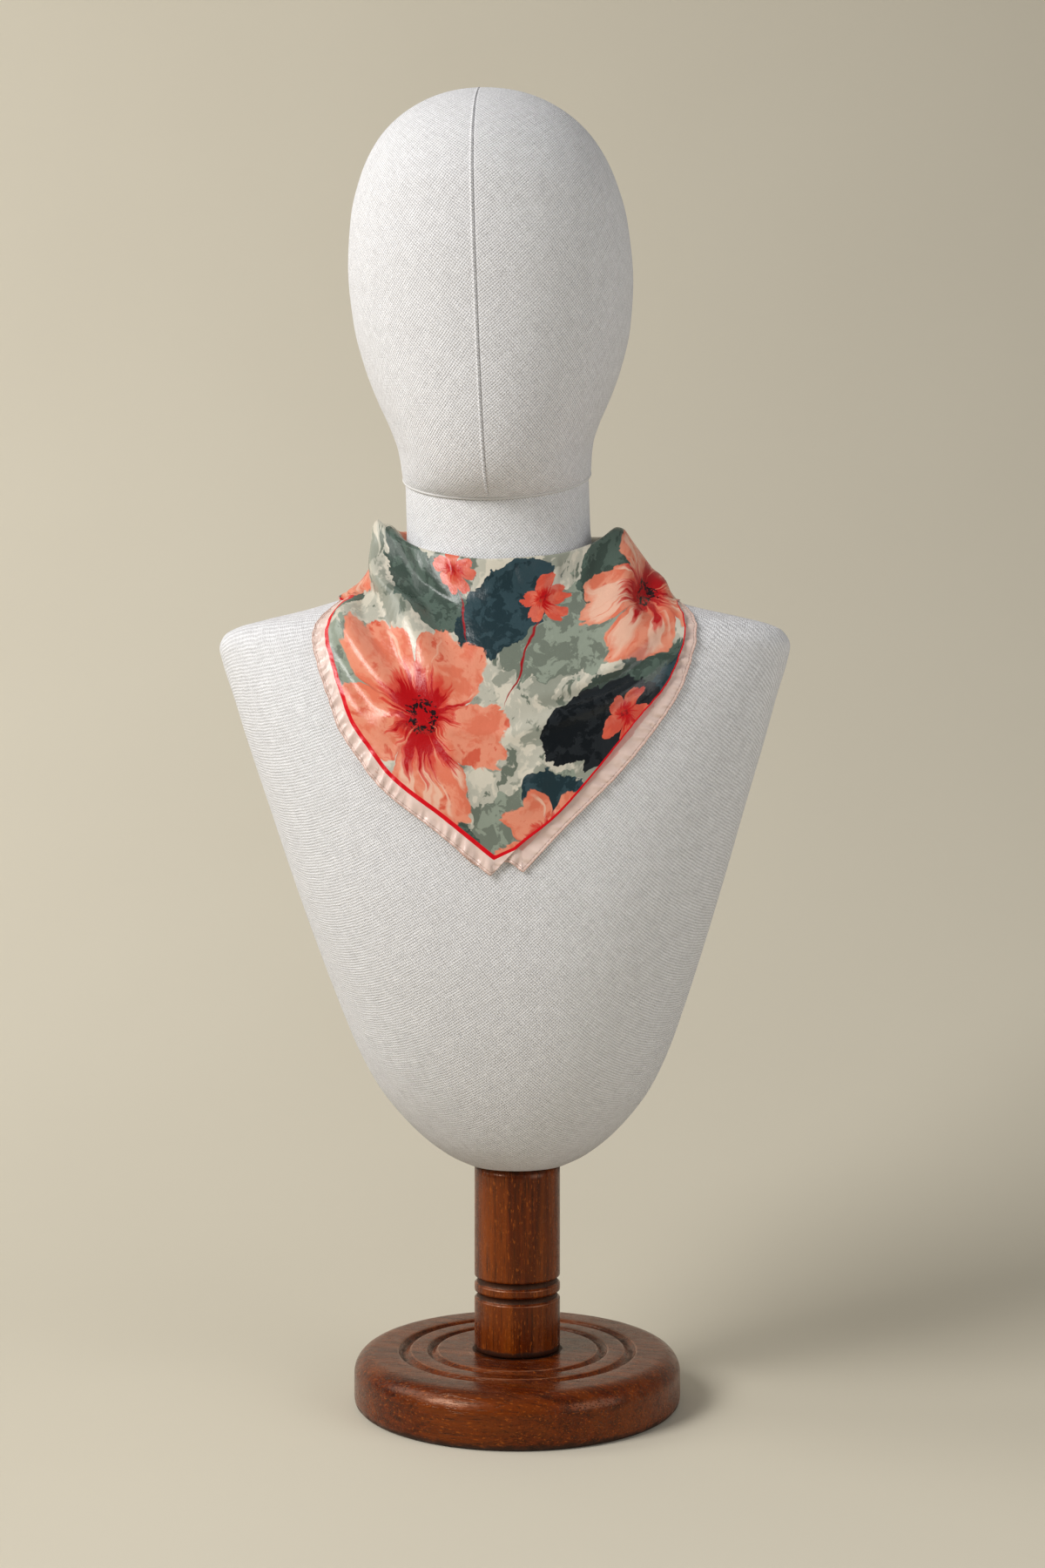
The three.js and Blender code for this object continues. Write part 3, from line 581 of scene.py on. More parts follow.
# The form's surface as a table over direction and slice, for laying the cloth on it
phi_steps, slice_steps = 720, 300
slice_at = np.linspace(0, len(bust_sections) - 1, slice_steps + 1)
slice_rows = smooth_read(np.arange(len(bust_sections)), bust_sections, slice_at)
table_phi = np.linspace(-pi, pi, phi_steps + 1)
table_radius = section_radius(slice_rows[None, :, :], table_phi[:, None])
table_z = np.broadcast_to(slice_rows[:, 0], table_radius.shape)
table_down = np.zeros_like(table_radius)
table_down[:, 1:] = np.cumsum(np.hypot(np.diff(table_radius, axis=1), np.diff(table_z, axis=1)), axis=1)
foot_slice = int(np.argmax(slice_rows[:, 0] <= neck_foot))
table_down -= table_down[:, foot_slice : foot_slice + 1]


def table_turn(phi):
    """Directions as places in the table."""
    return (np.asarray(phi) + pi) % (2 * pi) / (2 * pi) * phi_steps


def radius_at(phi, z):
    """Radius of the form in directions phi at heights z."""
    turn = table_turn(phi)
    slot = np.interp(-np.asarray(z), -slice_rows[:, 0], np.arange(slice_steps + 1))
    i, j = np.minimum(turn.astype(int), phi_steps - 1), np.minimum(slot.astype(int), slice_steps - 1)
    a, b = turn - i, slot - j
    low = table_radius[i, j] * (1 - a) + table_radius[i + 1, j] * a
    high = table_radius[i, j + 1] * (1 - a) + table_radius[i + 1, j + 1] * a
    return low * (1 - b) + high * b


def normal_at(phi, z):
    """The form's outward direction."""
    small = 0.02
    radius = radius_at(phi, z)
    turnwise = (radius_at(phi + small, z) - radius_at(phi - small, z)) / (2 * small * radius)
    rise = (radius_at(phi, z + 1) - radius_at(phi, z - 1)) / 2
    x, y = np.sin(phi) - turnwise * np.cos(phi), -np.cos(phi) - turnwise * np.sin(phi)
    return unit(np.stack([x, y, -rise], axis=-1))


def lay_on(phi, down, height):
    """Points a distance down the form in directions phi, lifted off it."""
    shape = np.broadcast_shapes(np.shape(phi), np.shape(down))
    phi, down = (np.broadcast_to(v, shape).astype(float) for v in (phi, down))
    turn = table_turn(phi)
    z = np.empty(shape)
    for spot in np.ndindex(shape[:-1]):
        row = int(round(turn[spot][0]))
        z[spot] = np.interp(down[spot], table_down[row], table_z[row])
    return on_form(phi, radius_at(phi, z), z) + normal_at(phi, z) * np.asarray(height)[..., None]


def height_off(points):
    """How far points are out from the form, and its outward direction there."""
    x = points[..., 0] + form_lean * (points[..., 2] - form_bottom)
    phi = np.arctan2(x, -points[..., 1])
    radius = np.hypot(x, points[..., 1])
    turn = np.round((phi + pi) / (2 * pi) * phi_steps).astype(int)
    out_gap, up_gap = table_radius[turn] - radius[..., None], slice_rows[:, 0] - points[..., 2:3]
    z = slice_rows[np.argmin(out_gap**2 + up_gap**2, axis=-1), 0]
    normal = normal_at(phi, z)
    return np.sum((points - on_form(phi, radius_at(phi, z), z)) * normal, axis=-1), normal


def keep_clear(points, height):
    """Points moved out until they are at least a height off the form."""
    off, normal = height_off(points)
    return points + normal * np.maximum(0, height - off)[..., None]


def grid_normals(grid):
    """Outward directions of a grid that runs round the form and then upwards."""
    return unit(np.cross(np.gradient(grid, axis=0), np.gradient(grid, axis=1)))


def far_from(points, line):
    """Distance from each point to a line of points, and how far along the line the nearest place lies."""
    flat = points.reshape(-1, 3)
    start, step_way = line[:-1], np.diff(line, axis=0)
    lengths = norm(step_way, axis=1)
    best, where = np.full(len(flat), 1e9), np.zeros(len(flat))
    for a, way, length, done in zip(start, step_way, lengths, run_along(line)):
        t = np.clip(((flat - a) @ way) / length**2, 0, 1)
        gap = norm(flat - a - t[:, None] * way, axis=1)
        nearer = gap < best
        best[nearer], where[nearer] = gap[nearer], (done + t * length)[nearer]
    return best.reshape(points.shape[:-1]), where.reshape(points.shape[:-1])


def hem_reach(hem, corner, angles):
    """How far the hem reaches down, with a sharp corner of the square at one angle."""
    reach = np.empty(len(angles))
    for side in (angles <= corner, angles > corner):
        rows = hem[(hem[:, 0] <= corner) if side[0] else (hem[:, 0] >= corner)]
        reach[side] = smooth_read(rows[:, 0], rows[:, 1], angles[side])[:, 0]
    return reach


def uneven(values, seed):
    """A slow irregular wave along a line, from -1 to 1, the same each time."""
    phases = np.random.default_rng(seed).uniform(0, 2 * pi, 5)
    rates = (0.31, 0.73, 1.17, 1.9, 2.7)
    return sum(np.sin(values * rate + phase) for rate, phase in zip(rates, phases)) / 3.2


def pucker(away, run, seed):
    """Uneven slanting puckers across the border, which the narrow hem draws up."""
    rhythm = (run + 0.5 * away) / 11.5 + 1.1 * uneven(run / 15, seed)
    strength = 1.3 * np.exp(-(((away - 3.0) / 4.0) ** 2)) * (0.6 + 0.4 * uneven(run / 19, seed + 1))
    return strength * np.sin(2 * pi * rhythm)


# widths on the flat square, in mm: the plain pale border, then the red line
plain, line_width = 7.0, 2.2


def past_end(line, length):
    """A line carried on straight past its last point."""
    return np.vstack([line, line[-1] + unit(line[-1] - line[-4]) * length])


def flat_place(angle, below):
    """Where a place of the worn cloth lies on the flat square, in cm from the middle of the neck edge."""
    spread = 56 + 46 * (1 - np.exp(-below / 60))
    return np.stack([np.radians(angle) * spread * 0.1, below * 0.1], axis=-1)


least_lay = 8  # mm of cloth that stay on the form above the hem, at the least
row_spread = 1.4  # rows of the cloth lie closer together towards the hem
under_corner = 10.0
under_angles = np.concatenate([np.arange(-111.5, -75, 1.5), np.arange(-75, 76, 0.6), np.arange(77, 112, 1.5)])
under_angles = np.unique(np.append(under_angles, under_corner).round(4))
under_reach = hem_reach(under_hem, under_corner, under_angles)
under_lift = smooth_read(neck_edge[:, 0], neck_edge[:, 4], under_angles)[:, 0]
under_top = np.minimum(under_lift, under_reach - least_lay) - 4
up_hem = np.linspace(0, 1, 60) ** row_spread
under_down = under_reach[:, None] + (under_top - under_reach)[:, None] * up_hem
under_grid = lay_on(np.radians(under_angles)[:, None], under_down, np.full(under_down.shape, 0.8))
tip = int(np.argmin(np.abs(under_angles - under_corner)))
left_away, left_run = far_from(under_grid, under_grid[: tip + 1, 0])
right_away, right_run = far_from(under_grid, under_grid[tip:, 0])
under_away = np.minimum(left_away, right_away)
under_run = np.where(left_away < right_away, left_run, right_run + 40)
under_lifted = 0.3 + pucker(under_away, under_run, 5) * 0.8 + 0.4 * np.exp(-under_away / 3)
under_lifted *= np.clip((80 - np.abs(under_angles)) / 12, 0, 1)[:, None]
under_grid = under_grid + grid_normals(under_grid) * np.maximum(under_lifted, 0)[..., None]
cloth_thickness = 0.32  # mm


def cloth_piece(name, grid, print_cm, hem_cm):
    """A thin cloth from its grid; its places on the flat square and along the hem are its maps."""
    faces = [face[::-1] for face in wrap_faces(*grid.shape[:2], closed=False)]
    piece = build_piece(name, grid, faces, {"square": print_cm, "hem": hem_cm})
    wall = piece.modifiers.new("thickness", "SOLIDIFY")
    wall.thickness = cloth_thickness * MM
    wall.offset = 0
    return piece


# only the plain border of the inner layer can be seen, so its distance from the edge stops there
under_square = flat_place(under_angles[:, None], under_down + 22)
under_place = np.stack([under_run, np.minimum(under_away, 6.9)], axis=-1) * 0.1
under = cloth_piece("silk_inner_layer", under_grid, under_square, under_place)


def ring_noise(value, detail):
    """Soft noise along one line."""
    values = {"W": value, "Scale": 1.0, "Detail": detail, "Roughness": 0.5}
    return add(value.tree, "ShaderNodeTexNoise", values, "Fac", noise_dimensions="1D")


def blossom_shape(x, y, across, down, size, turn, paleness, ragged, wash, speck):
    """A loose watercolour blossom of five rounded petals: a ragged red throat, pale streaks and
    darker overlaps where the petals meet."""
    x, y = x - across, y - down
    bearing = y.math("ARCTAN2", x) + turn
    reach = (x * x + y * y).math("SQRT") / size
    petal = bearing * (5 / (2 * pi)) + 10.0
    side = abs(petal.math("FRACT") * 2.0 - 1.0)
    luck = (petal.math("FLOOR") * 2.4).math("SINE") * 0.5 + 0.5
    streak = ring_noise(bearing * 3.2 + reach * 0.6, 3.0)
    fine_streak = ring_noise(bearing * 13.0 + reach * 2.0, 2.0)
    outline = side.math("POWER", 3.0) * -0.42 + (side * -1.0).math("ADD", 0.22, clamp=True) * -0.4
    outline = outline + luck * 0.12 + ragged * 0.3 + fine_streak * 0.09 + 0.685
    color = tint(step(wash, 0.44, 0.08), srgb(216, 116, 88), srgb(224, 142, 114))
    color = tint(step(wash, 0.58, 0.05), color, srgb(206, 92, 68))
    pale = step(paleness * 0.3 + streak + luck * 0.2, 0.84, 0.06)
    pale = pale * step(reach, 0.2, 0.2) * step(outline - reach, 0.04, 0.12)
    color = tint(pale * 0.85, color, srgb(230, 188, 164))
    color = tint(step(side, 0.9, 0.08) * 0.5, color, srgb(184, 68, 50))
    throat = luck * 0.2 + streak * 0.8 + fine_streak * 0.22 - 0.31
    color = tint(step(throat + 0.1, reach, 0.06) * 0.75, color, srgb(202, 34, 26))
    color = tint(step(throat, reach, 0.05), color, srgb(176, 2, 10))
    stamen = step(speck * 0.32 - abs(reach - 0.1), 0.13, 0.02)
    return {"Color": tint(stamen, color, srgb(34, 8, 12)), "Mask": step(outline, reach, 0.025)}


def leaf_shape(x, y, across, down, length, width, turn, raggedness, ragged):
    """A brushed leaf or petal stroke: a pointed oval with ragged sides."""
    x, y, turn = x - across, y - down, turn * (pi / 180)
    turn_cos, turn_sin = turn.math("COSINE"), turn.math("SINE")
    part_way = (x * turn_cos + y * turn_sin) / length
    swell = (part_way * (1.0 - part_way)).math("MULTIPLY", 4.0, clamp=True)
    half_width = swell.math("POWER", 0.7) * 0.5 + (ragged * 2.0 - 1.0) * raggedness
    inside = half_width * width - abs(y * turn_cos - x * turn_sin)
    return {"Mask": step(inside, 0.0, 0.06) * step(swell, 0.0, 0.05), "Along": part_way}


blossom = shader_group(
    "watercolour blossom", blossom_shape, X=0.0, Y=0.0, Across=0.0, Down=0.0, Size=4.0, Turn=0.0,
    Paleness=0.5, Ragged=0.5, Wash=0.5, Speck=0.5,
)
leaf = shader_group(
    "brushed leaf", leaf_shape, X=0.0, Y=0.0, Across=0.0, Down=0.0, Length=4.0, Width=1.5, Turn=0.0,
    Raggedness=0.3, Ragged=0.5,
)

# The print on the flat square, in cm: across from the middle, and down from the neck edge
# blossoms: across, down, size, turn, paleness
blossoms = [
    (-3.6, 9.6, 5.5, 0.5, 0.5), (9.6, 4.4, 4.6, 2.2, 0.95), (-12.6, 2.2, 4.4, 1.3, 0.3),
    (3.0, 15.9, 3.1, 0.2, 0.5), (18.8, 1.6, 3.8, 0.9, 0.6), (-20.0, 1.2, 3.4, 2.9, 0.7),
]
# small red buds: across, down, size, turn
buds = [(3.3, 2.7, 1.7, 1.0), (-2.0, 1.0, 1.3, 2.2), (7.0, 10.4, 1.3, 0.4)]
# leaves and washes: across, down, length, width, turn in degrees, raggedness, colour
leaf_colours = {
    "sage": srgb(112, 120, 108),
    "moss": srgb(62, 76, 68),
    "teal": srgb(30, 50, 56),
    "ink": srgb(8, 14, 18),
    "peach": srgb(236, 168, 138),
}
leaves = [
    (-9.5, 15.0, 9.5, 4.6, -70, 0.3, "sage"), (0.6, 6.0, 8.6, 5.6, -16, 0.3, "sage"),
    (-1.5, 16.0, 7.0, 3.2, -30, 0.3, "sage"), (-7.4, 0.2, 7.4, 4.2, 34, 0.28, "moss"),
    (4.8, 8.8, 7.0, 4.4, 16, 0.28, "moss"), (-13.4, 9.4, 6.6, 3.6, -46, 0.28, "moss"),
    (-4.6, 13.0, 7.0, 3.0, 50, 0.28, "moss"), (6.0, 3.6, 5.4, 3.6, -60, 0.28, "moss"),
    (-1.6, 5.6, 7.2, 4.6, -46, 0.24, "teal"), (12.8, 9.4, 5.6, 3.6, 168, 0.28, "teal"),
    (2.6, 10.8, 6.2, 4.0, -6, 0.26, "ink"), (1.8, 12.2, 5.4, 2.8, 42, 0.26, "teal"),
    (-11.4, 5.2, 5.0, 3.2, 100, 0.28, "ink"), (13.0, 2.4, 5.2, 3.0, 66, 0.28, "ink"),
    (-6.4, 15.4, 4.2, 1.7, 36, 0.28, "peach"), (-16.8, 3.0, 4.6, 2.6, 20, 0.28, "teal"),
    (15.4, 2.4, 4.6, 2.6, -10, 0.28, "moss"), (-0.4, 18.4, 4.4, 1.5, -50, 0.16, "teal"),
]
# stems: the same stroke, thin and smooth
stems = [
    (3.2, 3.8, 5.6, 0.24, 116, 0.02), (-2.1, 1.6, 3.8, 0.2, 76, 0.02), (7.1, 11.2, 3.8, 0.24, 116, 0.02),
]


def printed_silk(name):
    """Satin-faced silk: the print, the plain pale border and the red line beside it."""
    finish, tree = new_finish(name, 0.3, 0.36)
    square, hem = named_map(tree, "square"), named_map(tree, "hem")
    hem_run, hem_away, _ = split(hem)

    # the painted outlines wander by up to 0.75 cm
    drift = noise(square, 0.55, 2.5, 0.5, out="Color")
    drift = add(tree, "ShaderNodeVectorMath", (drift, [1.5] * 3, [-0.75] * 3), operation="MULTIPLY_ADD")
    where = add(tree, "ShaderNodeVectorMath", (square, drift), operation="ADD")
    x, y, _ = split(where)
    wash_a, wash_b = noise(where, 0.42, 4.0, 0.6), noise(place(where, (1.0, 0.6, 1.0)), 0.8, 4.0, 0.6)
    color = tint(step(wash_b, 0.47, 0.04), srgb(206, 200, 184), srgb(182, 180, 166))
    color = tint(step(wash_a, 0.52, 0.03), color, srgb(146, 149, 136))
    color = tint(step(wash_b, 0.58, 0.03), color, srgb(104, 112, 100))
    mottle, ragged = noise(where, 1.1, 4.0, 0.62), noise(where, 1.1, 3.0, 0.55)
    petal_wash, speck = noise(where, 0.6, 4.0, 0.6), noise(where, 5.5, 2.0, 0.6)

    def brush(shape):
        """One brushed leaf or stem."""
        names = ("Across", "Down", "Length", "Width", "Turn", "Raggedness")
        return use_group(tree, leaf, X=x, Y=y, Ragged=ragged, **dict(zip(names, shape)))

    def flower(shape):
        """One painted flower."""
        values = dict(zip(("Across", "Down", "Size", "Turn", "Paleness"), shape))
        return use_group(tree, blossom, X=x, Y=y, Ragged=ragged, Wash=petal_wash, Speck=speck, **values)

    for *shape, colour in leaves:
        stroke = brush(shape)
        deep = leaf_colours[colour]
        light = tuple(min(1.0, c * 1.6 + 0.008) for c in deep[:3]) + (1.0,)
        body = tint(step(stroke["Along"] * 0.16 + mottle, 0.56, 0.04), deep, light)
        color = tint(stroke["Mask"], color, body)
    for shape in stems:
        color = tint(brush(shape)["Mask"], color, srgb(150, 18, 26))
    for shape in blossoms:
        painted = flower(shape)
        color = tint(painted["Mask"], color, painted["Color"])
    bud_color = tint(step(mottle, 0.5, 0.1), srgb(190, 14, 16), srgb(212, 72, 50))
    for shape in buds:
        painted = flower((*shape, -0.4))
        color = tint(painted["Mask"], color, tint(0.55, painted["Color"], bud_color))

    grainy = (noise(square, 16.0, 3.0, 0.7) * 0.5).math("SUBTRACT", 0.1, clamp=True)
    color = tint(grainy, color, srgb(236, 232, 228), "MULTIPLY")
    color = tint(step((plain + line_width) * 0.1, hem_away, 0.015), color, srgb(208, 0, 20))
    border = tint(noise(hem, 1.6, 3.0, 0.6), srgb(212, 184, 172), srgb(234, 212, 202))
    color = tint(step(plain * 0.1, hem_away, 0.015), color, border)
    hem_line = abs(hem_away - 0.11)
    stitch = step((hem_run * (2 * pi / 0.22)).math("SINE"), -0.5, 0.6)
    color = tint(step(0.03, hem_line, 0.02) * (stitch * 0.35 + 0.3), color, srgb(158, 114, 98))

    satin = noise(place(square, (26.0, 3.0, 1.0)), 1.0, 3.0, 0.6)
    soft = noise(square, 0.9, 3.0, 0.6)
    drawn = noise(hem, 0.8, 2.0, 0.5) * 9.0 + hem_away * 5.0 + hem_run * (2 * pi / 0.56)
    gathered = drawn.math("SINE") * step(0.62, hem_away, 0.5)
    crumple = satin * 0.08 + soft * 0.8 + gathered * 0.55 - step(0.04, hem_line, 0.03) * 0.16
    surface(tree, color, crumple, 0.5, 0.0014, soft * 0.14 + 0.18)
    return finish


silk = printed_silk("printed silk")
under.data.materials.append(silk)
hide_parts("scarf_under_layer")
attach(under, "root")

# The silk square's outer layer: the other triangle. It hangs from the folded neck edge, which
# stands up beside the neck in two soft peaks, spreads over the shoulders and lies down the chest.
# On the viewer's right its border is turned under along the red line.
upper_corner = 0.0
back_angles = np.append(np.arange(76.3, 168, 1.3), 168.6)
upper_angles = np.concatenate([-back_angles, np.arange(-75, 75.1, 0.6), [upper_corner], back_angles])
upper_angles = np.unique(upper_angles.round(4))
upper_phi = np.radians(upper_angles)
upper_reach = hem_reach(upper_hem, upper_corner, upper_angles)
edge = smooth_read(neck_edge[:, 0], neck_edge[:, 1:], upper_angles)
off, crest, roll, leave, slant, bridge = edge.T
slant = np.radians(slant)
leave = np.minimum(leave, upper_reach - least_lay + 5.5 * bridge)
lay_rows, stand_rows, roll_rows, inside_rows = 66, 22, 12, 6

up_hem = np.linspace(0, 1, lay_rows) ** row_spread
lay_down = upper_reach[:, None] + (leave - upper_reach)[:, None] * up_hem
layer_height = 2.3 - 0.7 * np.clip((np.abs(upper_angles) - 72) / 8, 0, 1)[:, None]
lay = lay_on(upper_phi[:, None], lay_down, layer_height + 0 * lay_down)

crest_z = crest - roll
crest_radius = radius_at(upper_phi, crest_z) + 1.0 + roll + off


def on_roll(turn):
    """Places on the rolled neck edge."""
    return on_form(upper_phi, crest_radius + roll * np.cos(turn), crest_z + roll * np.sin(turn))


start, stop = lay[:, -1], on_roll(slant)
before = lay_on(upper_phi[:, None], (leave + 1)[:, None], layer_height)[:, 0]
pull = 1.05 * norm(stop - start, axis=1, keepdims=True)
leave_way = (unit(start - before) * (1 - bridge[:, None]) + unit(stop - start) * bridge[:, None]) * pull
arrive_way = unit(on_roll(slant + 0.01) - stop) * pull
t = np.linspace(0, 1, stand_rows + 1)[1:][None, :, None]
stand = curve(t, start[:, None], leave_way[:, None], stop[:, None], arrive_way[:, None])
stand = keep_clear(stand, layer_height)
turns = np.linspace(0, 1, roll_rows + 1)[1:]
rolled = np.stack([on_roll(slant + (pi - slant) * turn) for turn in turns], axis=1)
inside_drop = np.linspace(0, 13, inside_rows + 1)[1:]
inside_face = [on_form(upper_phi, crest_radius - roll, crest_z - drop) for drop in inside_drop]
inside_face = keep_clear(np.stack(inside_face, axis=1), 0.8)
upper_grid = np.concatenate([lay, stand, rolled, inside_face], axis=1)

# Where each place lies below the neck edge, counted like the hem tables, for the folds
stand_down = leave[:, None] + (-5 - leave)[:, None] * t[0, :, 0]
roll_down = np.full((len(upper_phi), roll_rows), -6.0)
inside_down = np.full((len(upper_phi), inside_rows), -30.0)
fold_down = np.concatenate([lay_down, stand_down, roll_down, inside_down], axis=1)
# folds: height, half-width, then degrees round and mm down along each one
folds = [
    (6.0, 8.6, [(-82, -8), (-75, 8), (-66, 22), (-52, 37), (-38, 52), (-29, 68), (-21, 84), (-15, 99)]),
    (-3.4, 7.6, [(-58, -4), (-47, 12), (-36, 28), (-25, 44), (-16, 60), (-10, 78)]),
    (4.8, 7.6, [(-74, 48), (-65, 58), (-56, 69), (-46, 82), (-37, 94), (-27, 108), (-17, 116)]),
    (-3.2, 6.6, [(-74, 30), (-61, 44), (-48, 60), (-38, 76), (-29, 90)]),
    (1.9, 5.5, [(-62, 82), (-52, 96), (-42, 112), (-30, 124)]),
    (-1.3, 5.0, [(-54, 84), (-44, 100), (-34, 114)]),
    (1.0, 2.2, [(-36, 112), (-17, 115), (0, 116), (14, 118)]),
    (4.2, 10.0, [(80, -6), (70, 16), (63, 38), (54, 57), (48, 79), (42, 98)]),
    (3.2, 6.0, [(84, 40), (78, 54), (71, 70), (64, 86)]),
    (-3.2, 6.2, [(80, 24), (72, 40), (63, 60), (58, 80)]),
    (2.2, 4.6, [(60, 92), (50, 100), (38, 105), (25, 110), (12, 116), (2, 119)]),
    (1.6, 4.0, [(64, 74), (50, 86), (36, 94), (22, 98), (8, 99)]),
    (-1.5, 4.4, [(56, 84), (44, 96), (30, 102), (16, 106)]),
    (1.2, 5.0, [(-14, 120), (-10, 140), (-4, 166)]),
    (1.1, 5.0, [(22, 122), (15, 142), (8, 160)]),
    (1.1, 6.0, [(30, 8), (26, 34), (18, 62)]),
    (0.8, 3.0, [(-44, -3), (-40, 10), (-35, 26)]),
    (0.6, 2.6, [(-22, -3), (-20, 8), (-19, 22)]),
    (0.5, 2.8, [(12, -3), (13, 10), (15, 26)]),
    (0.7, 3.0, [(36, -3), (35, 12), (32, 30)]),
    (0.9, 3.4, [(56, -3), (50, 14), (44, 32)]),
    (1.3, 3.2, [(-100, 26), (-118, 18), (-138, 12), (-156, 8), (-168, 4)]),
    (-0.9, 2.6, [(-104, 34), (-122, 26), (-142, 18), (-160, 10), (-168, 7)]),
    (1.1, 2.8, [(-112, 44), (-130, 34), (-148, 24), (-168, 12)]),
    (1.3, 3.2, [(104, 28), (122, 18), (140, 12), (156, 7), (168, 4)]),
    (-0.9, 2.6, [(108, 38), (126, 27), (144, 18), (160, 11), (168, 7)]),
    (1.1, 2.8, [(114, 46), (132, 34), (150, 23), (168, 12)]),
]
fold_strength = 1.2
degree_mm = 1.35  # about what a degree measures round the cloth
lift_up = np.zeros(fold_down.shape)
flat_x = upper_angles[:, None] * degree_mm + 0 * fold_down
for height, width, path in folds:
    line = np.array([(a * degree_mm, d, 0.0) for a, d in path])
    away, run = far_from(np.stack([flat_x, fold_down, 0 * flat_x], axis=-1), line)
    taper = np.sin(pi * np.clip(0.12 + 0.88 * run / run_along(line)[-1], 0, 1)) ** 0.8
    lift_up += fold_strength * height * taper * np.exp(-((away / width) ** 2))

# Each place's distance from the square's edge. On the viewer's right the border is turned under,
# and the red line narrows upwards along the fold. Behind the left shoulder it is turned under too.
tip = int(np.argmin(np.abs(upper_angles - upper_corner)))
left_away, left_run = far_from(upper_grid, past_end(upper_grid[: tip + 1, 0], 20))
right_away, right_run = far_from(upper_grid, upper_grid[tip:, 0])
still_plain = plain * np.clip(1 - right_run / 18, 0, 1)
right_line = 0.7 + 1.5 * np.exp(-right_run / 40)
folded_away = plain + (right_away - still_plain) * line_width / right_line
turned_back = (plain + line_width) * np.clip((-65 - upper_angles) / 6, 0, 1)[:, None]
upper_away = np.minimum(left_away + turned_back, folded_away)
upper_run = np.where(left_away < folded_away, left_run, right_run + 60)
near_edge = np.minimum(left_away, right_away)
on_front = np.arange(fold_down.shape[1])[None, :] < lay_rows + stand_rows + 4
puckers = pucker(left_away, left_run, 3)
tension = 0.3 * uneven(right_run / 7, 11) * np.exp(-((right_away / 5) ** 2))
over_front = np.clip((82 - np.abs(upper_angles)) / 12, 0, 1)[:, None]
edge_lift = over_front * (puckers + tension + 0.4 * np.exp(-near_edge / 4))
lift_up = np.where(on_front, lift_up * np.clip(near_edge / 14, 0.15, 1) + edge_lift, 0)
upper_grid = upper_grid + grid_normals(upper_grid) * lift_up[..., None]
upper_grid[:, : lay_rows + stand_rows] = keep_clear(upper_grid[:, : lay_rows + stand_rows], 1.5)

below = lengths_along(upper_grid, 1)
crest_row = lay_rows + stand_rows + roll_rows // 2
below = below[:, crest_row : crest_row + 1] - below
upper_place = np.stack([upper_run, upper_away], axis=-1) * 0.1
upper = cloth_piece("silk_outer_layer", upper_grid, flat_place(upper_angles[:, None], below), upper_place)
upper.data.materials.append(silk)
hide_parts("scarf_upper_layer")
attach(upper, "root")

# The rolled hem: the raw edge of the silk rolled into a thin cord by hand and whipped down with
# small stitches. It shows along the outer layer's left edge and the inner layer's edges.


def rolled_hem(name, line, seed):
    """A hand-rolled hem along a line in mm, nipped in at each stitch."""
    run = run_along(line)
    even = np.arange(0, run[-1], 0.55)
    path = np.stack([np.interp(even, run, line[:, axis]) for axis in range(3)], axis=-1)
    nip = np.abs(np.sin(pi * even / 2.5 + 0.6 * uneven(even / 6, seed)))
    return sweep(name, path, 0.34 + 0.05 * nip, closed=False)


hem_left = rolled_hem("rolled_hem_outer", upper_grid[: tip + 1, 0], 21)
hem_under = rolled_hem("rolled_hem_inner", under_grid[np.abs(under_angles) < 84, 0], 22)
hem_finish, hem_tree = new_finish("rolled silk edge", 0.42, 0.4, Sheen_Weight=0.2)
hem_run = named_map(hem_tree, "threads")
stitch = step((split(hem_run)[0] * (2 * pi / 0.25)).math("SINE"), 0.82, 0.1)
hem_color = tint(noise(hem_run, 3.0, 3.0, 0.6), srgb(190, 152, 136), srgb(222, 190, 176))
surface(hem_tree, tint(stitch * 0.35, hem_color, srgb(142, 84, 72)), stitch, 0.4, 0.0003)
for hem_piece, hem_slot in ((hem_left, "silk_upper"), (hem_under, "silk_under")):
    hem_piece.data.materials.append(hem_finish)
    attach(hem_piece, "root")

# The tie: the two ends of the folded edge cross in one small flat knot at the nape, and their
# points hang below it in soft pleats.
knot_middle = np.array([0.0, 61.2, 461.0])
knot_half = np.array([12.6, 9.0, 12.0])
knot_rings, knot_around = 40, 72
rise = -np.cos(pi * (np.arange(knot_rings) + 0.5) / knot_rings)
knot_turn = np.linspace(0, 2 * pi, knot_around, endpoint=False)
squareness = 2.6
knot_width = (1 - np.abs(rise) ** squareness) ** (1 / squareness)
knot_outline = np.abs(np.sin(knot_turn)) ** squareness + np.abs(np.cos(knot_turn)) ** squareness
knot_outline = knot_outline ** (-1 / squareness)
slanting = 0.8 * rise[:, None] - 0.6 * np.sin(knot_turn)
gathers = 0.95 + 0.045 * np.sin(10 * slanting + 1.2 * np.sin(knot_turn))
gathers = gathers - 0.16 * np.exp(-(((np.abs(slanting) - 0.52) / 0.09) ** 2))
knot_ring = knot_width[:, None] * knot_outline * gathers
knot_ways = [knot_ring * np.sin(knot_turn), -knot_ring * np.cos(knot_turn), rise[:, None] + 0 * gathers]
knot_points = knot_middle + knot_half * np.stack(knot_ways, axis=-1)
knot_points[..., 0] -= form_lean * (knot_points[..., 2] - form_bottom)
knot_across = -9.6 + np.sin(knot_turn) * 1.6 + 0 * rise[:, None]
knot_square = np.stack([knot_across, 3.4 + slanting * 1.8], axis=-1)
knot_place = np.full((knot_rings, knot_around, 2), 3.0)
knot = tube("silk_knot", knot_points, {"square": knot_square, "hem": knot_place})
knot.data.materials.append(silk)
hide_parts("scarf_knot")
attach(knot, "root")


